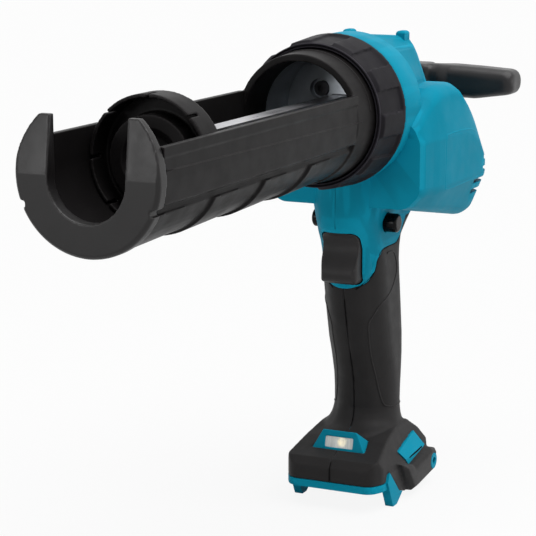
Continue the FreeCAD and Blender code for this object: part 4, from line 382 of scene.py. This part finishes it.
for name, values in SOFTENED.items():
    soften(name, *values)
for name in ("housing_left", "housing_right"):
    eased_edges(name, HOUSING_EDGE)


# Mouldings too fine for the solids, each built on the surface that carries it.
BEAD = [(-1.0, -0.8), (-0.8, 0.35), (-0.4, 0.85), (0.0, 1.0), (0.4, 0.85), (0.8, 0.35), (1.0, -0.8)]
CURVE_STEPS = 8


def surface(*names):
    points, faces = [], []
    for name in names:
        mesh = nodes[name].data
        base = len(points)
        points += [vertex.co.copy() for vertex in mesh.vertices]
        faces += [tuple(base + i for i in face.vertices) for face in mesh.polygons]
    return BVHTree.FromPolygons(points, faces)


def made(name, points, faces, look, body):
    mesh = bpy.data.meshes.new(name)
    mesh.from_pydata(points, [], faces)
    form = bmesh.new()
    form.from_mesh(mesh)
    bmesh.ops.recalc_face_normals(form, faces=form.faces)
    form.to_mesh(mesh)
    form.free()
    mesh.polygons.foreach_set("use_smooth", [True] * len(mesh.polygons))
    mesh.materials.append(looks[look])
    piece = bpy.data.objects.new(name, mesh)
    scene.collection.objects.link(piece)
    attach(piece, body)


def eased(path):
    """Points of a smooth curve through a path given in millimetres."""
    path = [Vector(point) * MM for point in path]
    ends = [2 * path[0] - path[1]] + path + [2 * path[-1] - path[-2]]
    points = []
    for a, b, c, d in zip(ends, ends[1:], ends[2:], ends[3:]):
        for k in range(CURVE_STEPS):
            t = k / CURVE_STEPS
            bend = 2 * a - 5 * b + 4 * c - d
            points.append(0.5 * (2 * b + (c - a) * t + bend * t**2 + (3 * b - a - 3 * c + d) * t**3))
    return points + [path[-1]]


def bead(name, carriers, path, width, rise, look):
    """A low rounded line laid along a path on its carriers' surface."""
    tree = surface(*carriers)
    found = [tree.find_nearest(point) for point in eased(path)]
    last = len(found) - 1
    size = len(BEAD)
    points, faces = [], [tuple(range(size)), tuple(last * size + k for k in range(size))]
    for i in range(last + 1):
        before, after = found[max(i - 1, 0)], found[min(i + 1, last)]
        normal = (before[1] + found[i][1] + after[1]).normalized()
        across = (after[0] - before[0]).cross(normal).normalized()
        points += [found[i][0] + across * (x * width * MM / 2) + normal * (h * rise * MM) for x, h in BEAD]
    for i in range(last):
        for k in range(size):
            near, far = i * size + k, i * size + (k + 1) % size
            faces.append((near, far, far + size, near + size))
    made(name, points, faces, look, "tool_body")


def both_sides(name, carriers, path, width, rise, look):
    """A bead on the right side, along a path given there, and its twin on the left."""
    for side, sign in (("right", 1), ("left", -1)):
        twin = [(x, sign * y, z) for x, y, z in path]
        bead(f"{name}_{side}", [c.format(side) for c in carriers], twin, width, rise, look)


def turned(name, profile, centre, axis, look, body, steps=120):
    """A closed profile of (along, radius) pairs, in millimetres, swept about an axis."""
    axis = Vector(axis).normalized()
    first = axis.orthogonal().normalized()
    second = axis.cross(first)
    size = len(profile)
    points, faces = [], []
    for i in range(steps):
        turn = 2 * math.pi * i / steps
        out = first * math.cos(turn) + second * math.sin(turn)
        points += [Vector(centre) + (axis * along + out * radius) * MM for along, radius in profile]
        for k in range(size):
            near, far, step = i * size, ((i + 1) % steps) * size, (k + 1) % size
            faces.append((near + k, near + step, far + step, far + k))
    made(name, points, faces, look, body)


# Paths of the beads, in millimetres, picked on the photograph and on the solids.
COVER_EDGE = [
    (30, -8, 139), (24, -10.5, 139), (21.3, -11.5, 138.4), (18.4, -13.2, 135.3), (13.3, -15.3, 129.6),
    (8.3, -15.9, 126.9), (-1.9, -15.9, 126.7), (-9.5, -15.5, 126.2), (-12.7, -14.4, 122.5),
    (-14.0, -13.8, 116.0), (-17.8, -11.8, 111.1), (-21.9, -7.0, 107.1),
]
PALM_BORDER = [
    (-3.9, -15.8, 123.6), (2.0, -15.9, 123.4), (5.6, -15.9, 122.0), (8.3, -16.0, 116.9), (8.2, -16.2, 111.9),
    (2.0, -16.4, 105.0), (-8.1, -14.9, 99.1), (-11.1, -12.2, 94.2), (-12.6, -10.0, 89.3), (-11.3, -9.6, 82.9),
    (-9.6, -9.4, 77.2), (-6.3, -9.5, 68.7), (-3.0, -10.3, 60.3), (-0.7, -11.2, 52.2), (1.4, -12.7, 45.8),
    (4.4, -14.8, 43.9), (10.0, -16.4, 43.6), (15.0, -16.1, 43.6), (20.0, -13.7, 43.6), (25.0, -7.7, 43.6),
    (26.5, -0.6, 43.6),
]
SIDE_EDGE = [
    (47, -42.9, 178.6), (38, -43.4, 181.0), (22, -43.75, 182.3), (6, -43.75, 182.3), (1.6, -43.6, 181.0),
    (1.0, -43.8, 168), (1.0, -43.7, 158.0), (4, -43.5, 155.8), (24, -43.6, 155.7), (42, -43.66, 155.7),
    (57, -43.6, 155.8),
]
PANEL_SLOT = [(2, -26.9, 19.4), (11, -26.9, 19.9), (20, -26.8, 20.4)]
WALL_CREASE = [(-262, -29.3, 199.4), (-170, -29.3, 197.9), (-72, -29.3, 196.3)]
HOOP_RIB_X = -63
HOOP_RIB_RADIUS = 30.5
HOOP_RIB_TURNS = [math.radians(a) for a in range(8, 173, 12)]
HOOP_RIB = [
    (HOOP_RIB_X, -HOOP_RIB_RADIUS * math.cos(turn), AXIS_Z + HOOP_RIB_RADIUS * math.sin(turn))
    for turn in HOOP_RIB_TURNS
]
NECK_SEAM = [(-31.9, 0, z) for z in (162, 158, 153, 148, 143, 138.6)]
GRIP_SEAM = [(-20, 0, 102), (-16.9, 0, 90), (-10.5, 0, 70), (-6.2, 0, 50), (-7.1, 0, 40), (-10, 0, 36)]
FOOT_SEAM = [(-35.1, 0, 24), (-37, 0, 20), (-37, 0, 13)]

# Profiles of the turned pieces: places along the axis and radii
COLLAR_LIPS = [
    (-58.1, 31.3), (-58.9, 31.3), (-59.1, 31.6), (-58.9, 31.9), (-58.4, 32.0), (-58.4, 32.5), (-59.0, 32.6),
    (-59.25, 32.95), (-59.0, 33.3), (-58.1, 33.35),
]
LAMP_DOME = [
    (-0.9, 0.02), (-0.9, 2.1), (0.6, 2.1), (0.9, 1.7), (1.0, 1.35), (1.5, 1.15), (1.85, 0.6), (1.95, 0.02),
]
LAMP_AIM = (-0.976, 0, 0.215)
LAMP_STEPS = 32

COVERS = ["grip_cover_{}"]
HOUSINGS = ["housing_{}"]
HOLDER = ["holder_channel"]
both_sides("cover_gap", COVERS + HOUSINGS, COVER_EDGE, width=0.55, rise=0.10, look="gap")
both_sides("palm_border", COVERS, PALM_BORDER, width=1.1, rise=0.32, look="cover")
both_sides("side_edge", HOUSINGS, SIDE_EDGE, width=0.9, rise=0.12, look="teal")
both_sides("panel_slot", HOUSINGS, PANEL_SLOT, width=0.9, rise=0.10, look="gap")
both_sides("wall_crease", HOLDER, WALL_CREASE, width=0.8, rise=0.22, look="holder")
bead("hoop_rib", HOLDER, HOOP_RIB, width=1.0, rise=0.35, look="holder")
bead("neck_seam", ["housing_right"], NECK_SEAM, width=0.5, rise=0.08, look="gap")
bead("grip_seam", ["grip_cover_right"], GRIP_SEAM, width=0.4, rise=0.08, look="gap")
bead("foot_seam", ["grip_cover_right"], FOOT_SEAM, width=0.4, rise=0.08, look="gap")
turned("collar_lips", COLLAR_LIPS, (0, 0, AXIS_Z * MM), (1, 0, 0), "collar", "collar_ring")

# Painted shade behind the vents: a dark sheet cast outwards from an upright line inside the rear corner
VENT_ROWS = 16
VENT_TURNS = 13
VENT_START = -5.0  # degrees from straight back
VENT_SWEEP = 100.0
VENT_LINE_X = 36.0
VENT_LINE_Y = 18.0
VENT_BOTTOM = 140.0
VENT_HEIGHT = 36.0
VENT_STRAY = 1.2  # a ray this many times the median length went out through a vent
SHADE_SHEET_INSET = 0.5


def vent_baffle(side, sign):
    """A dark sheet of painted shade just inside the wall behind the vents, over the whole rear corner."""
    tree = surface("housing_" + side)
    heights = [VENT_BOTTOM + VENT_HEIGHT * k / (VENT_ROWS - 1) for k in range(VENT_ROWS)]
    centres = [Vector((VENT_LINE_X, sign * VENT_LINE_Y, z)) * MM for z in heights]
    points = []
    for i in range(VENT_TURNS):
        turn = math.radians(VENT_START + VENT_SWEEP * i / (VENT_TURNS - 1))
        towards = Vector((math.cos(turn), sign * math.sin(turn), 0))
        reaches = [tree.ray_cast(centre, towards)[3] for centre in centres]
        usual = sorted(r for r in reaches if r is not None)
        limit = VENT_STRAY * usual[len(usual) // 2]
        sound = [(k, r) for k, r in enumerate(reaches) if r is not None and r < limit]
        for k, centre in enumerate(centres):
            before = [s for s in sound if s[0] <= k] or sound[:1]
            after = [s for s in sound if s[0] >= k] or sound[-1:]
            reach = min(before[-1][1], after[0][1])
            points.append(centre + towards * (reach - SHADE_SHEET_INSET * MM))
    faces = [
        (i * VENT_ROWS + k, i * VENT_ROWS + k + 1, (i + 1) * VENT_ROWS + k + 1, (i + 1) * VENT_ROWS + k)
        for i in range(VENT_TURNS - 1)
        for k in range(VENT_ROWS - 1)
    ]
    # The sheet wears the dark gap look as painted shade
    made("vent_baffle_" + side, points, faces, "gap", "tool_body")


vent_baffle("right", -1)
vent_baffle("left", 1)
low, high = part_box("lamp_board")
turned("lamp_dome", LAMP_DOME, (low + high) / 2, LAMP_AIM, "lamp", "tool_body", LAMP_STEPS)

# Stage: a pale floor that keeps the shadow, white as seen and as mirrored, and a plain soft light.
FLOOR_REACH = 20.0
FLOOR_DARK = (0.61, 0.61, 0.61, 1)
FLOOR_LIGHT = (0.63, 0.63, 0.63, 1)
FLOOR_GRAIN_SCALE = 300.0
FLOOR_ROUGHNESS = 0.9
FLOOR_SPECULAR = 0.1
FLOOR_WHITE_SHARE = 0.90
FILL = 0.06


def seen_or_mirrored(tree):
    """1 for a ray from the camera, from a mirror or through glass, and 0 for one that carries light."""
    path = tree.nodes.new("ShaderNodeLightPath")
    total = path.outputs["Is Camera Ray"]
    for name in ("Is Glossy Ray", "Is Transmission Ray"):
        node = add(tree, "ShaderNodeMath", operation="MAXIMUM")
        tree.links.new(total, node.inputs[0])
        tree.links.new(path.outputs[name], node.inputs[1])
        total = node.outputs[0]
    return total


def floor():
    mesh = bpy.data.meshes.new("floor")
    corners = ((-1, -1), (1, -1), (1, 1), (-1, 1))
    mesh.from_pydata([(x * FLOOR_REACH, y * FLOOR_REACH, 0) for x, y in corners], [], [(0, 1, 2, 3)])
    plane = bpy.data.objects.new("floor", mesh)
    scene.collection.objects.link(plane)
    material, tree, shader = start("floor_paper")
    paper = spread(tree, noise(tree, coordinates(tree), FLOOR_GRAIN_SCALE), 0.0, 1.0)
    feed(tree, two_tones(tree, paper, FLOOR_DARK, FLOOR_LIGHT), shader, "Base Color")
    shader.inputs["Roughness"].default_value = FLOOR_ROUGHNESS
    shader.inputs["Specular IOR Level"].default_value = FLOOR_SPECULAR
    white = add(tree, "ShaderNodeEmission", Strength=1.0)
    share = add(tree, "ShaderNodeMath", operation="MULTIPLY")
    share.inputs[1].default_value = FLOOR_WHITE_SHARE
    tree.links.new(seen_or_mirrored(tree), share.inputs[0])
    mix = tree.nodes.new("ShaderNodeMixShader")
    tree.links.new(share.outputs[0], mix.inputs[0])
    tree.links.new(shader.outputs[0], mix.inputs[1])
    tree.links.new(white.outputs[0], mix.inputs[2])
    tree.links.new(mix.outputs[0], tree.nodes["Material Output"].inputs["Surface"])
    mesh.materials.append(material)


def surroundings():
    """White where the camera or a mirror sees them, and a faint fill elsewhere."""
    world = bpy.data.worlds.new("studio")
    scene.world = world
    world.use_nodes = True
    tree = world.node_tree
    background = tree.nodes["Background"]
    background.inputs["Color"].default_value = (1, 1, 1, 1)
    strength = add(tree, "ShaderNodeMapRange")
    strength.inputs["To Min"].default_value = FILL
    tree.links.new(seen_or_mirrored(tree), strength.inputs["Value"])
    tree.links.new(strength.outputs["Result"], background.inputs["Strength"])


def softbox(name, place, aim, size, power):
    light = bpy.data.lights.new(name, "AREA")
    light.shape = "RECTANGLE"
    light.size, light.size_y = size
    light.energy = power
    lamp = bpy.data.objects.new(name, light)
    scene.collection.objects.link(lamp)
    lamp.location = place
    lamp.rotation_euler = (Vector(place) - Vector(aim)).to_track_quat("Z", "Y").to_euler()


def ceiling(level, spread_angle, towards):
    light = bpy.data.lights.new("ceiling", "SUN")
    light.energy = level * math.pi
    light.angle = math.radians(spread_angle)
    lamp = bpy.data.objects.new("ceiling", light)
    scene.collection.objects.link(lamp)
    lamp.rotation_euler = Vector(towards).to_track_quat("Z", "Y").to_euler()


floor()
surroundings()
ceiling(level=1.22, spread_angle=70.0, towards=(-0.05, -0.30, 1.0))
softbox("side_softbox", place=(0.45, -1.3, 0.26), aim=(0, 0, 0.15), size=(0.8, 0.5), power=2.8)
softbox("front_softbox", place=(-1.35, 0.50, 0.37), aim=(-0.265, 0, 0.21), size=(0.34, 0.26), power=2.6)

# Camera, as fitted to the photograph
CAMERA_PLACE = (-0.8635, -0.3520, 0.3022)
CAMERA_AZIMUTH = math.radians(-65.03)
CAMERA_ELEVATION = math.radians(11.42)
CAMERA_LENS = 129.1
CAMERA_SENSOR = 36.0

camera = bpy.data.objects.new("camera", bpy.data.cameras.new("camera"))
scene.collection.objects.link(camera)
level_share = math.cos(CAMERA_ELEVATION)
back = Vector((
    math.sin(CAMERA_AZIMUTH) * level_share,
    -math.cos(CAMERA_AZIMUTH) * level_share,
    math.sin(CAMERA_ELEVATION),
))
camera.location = CAMERA_PLACE
camera.rotation_euler = back.to_track_quat("Z", "Y").to_euler()
camera.data.lens = CAMERA_LENS
camera.data.sensor_width = CAMERA_SENSOR
scene.camera = camera
scene.view_settings.view_transform = "Standard"
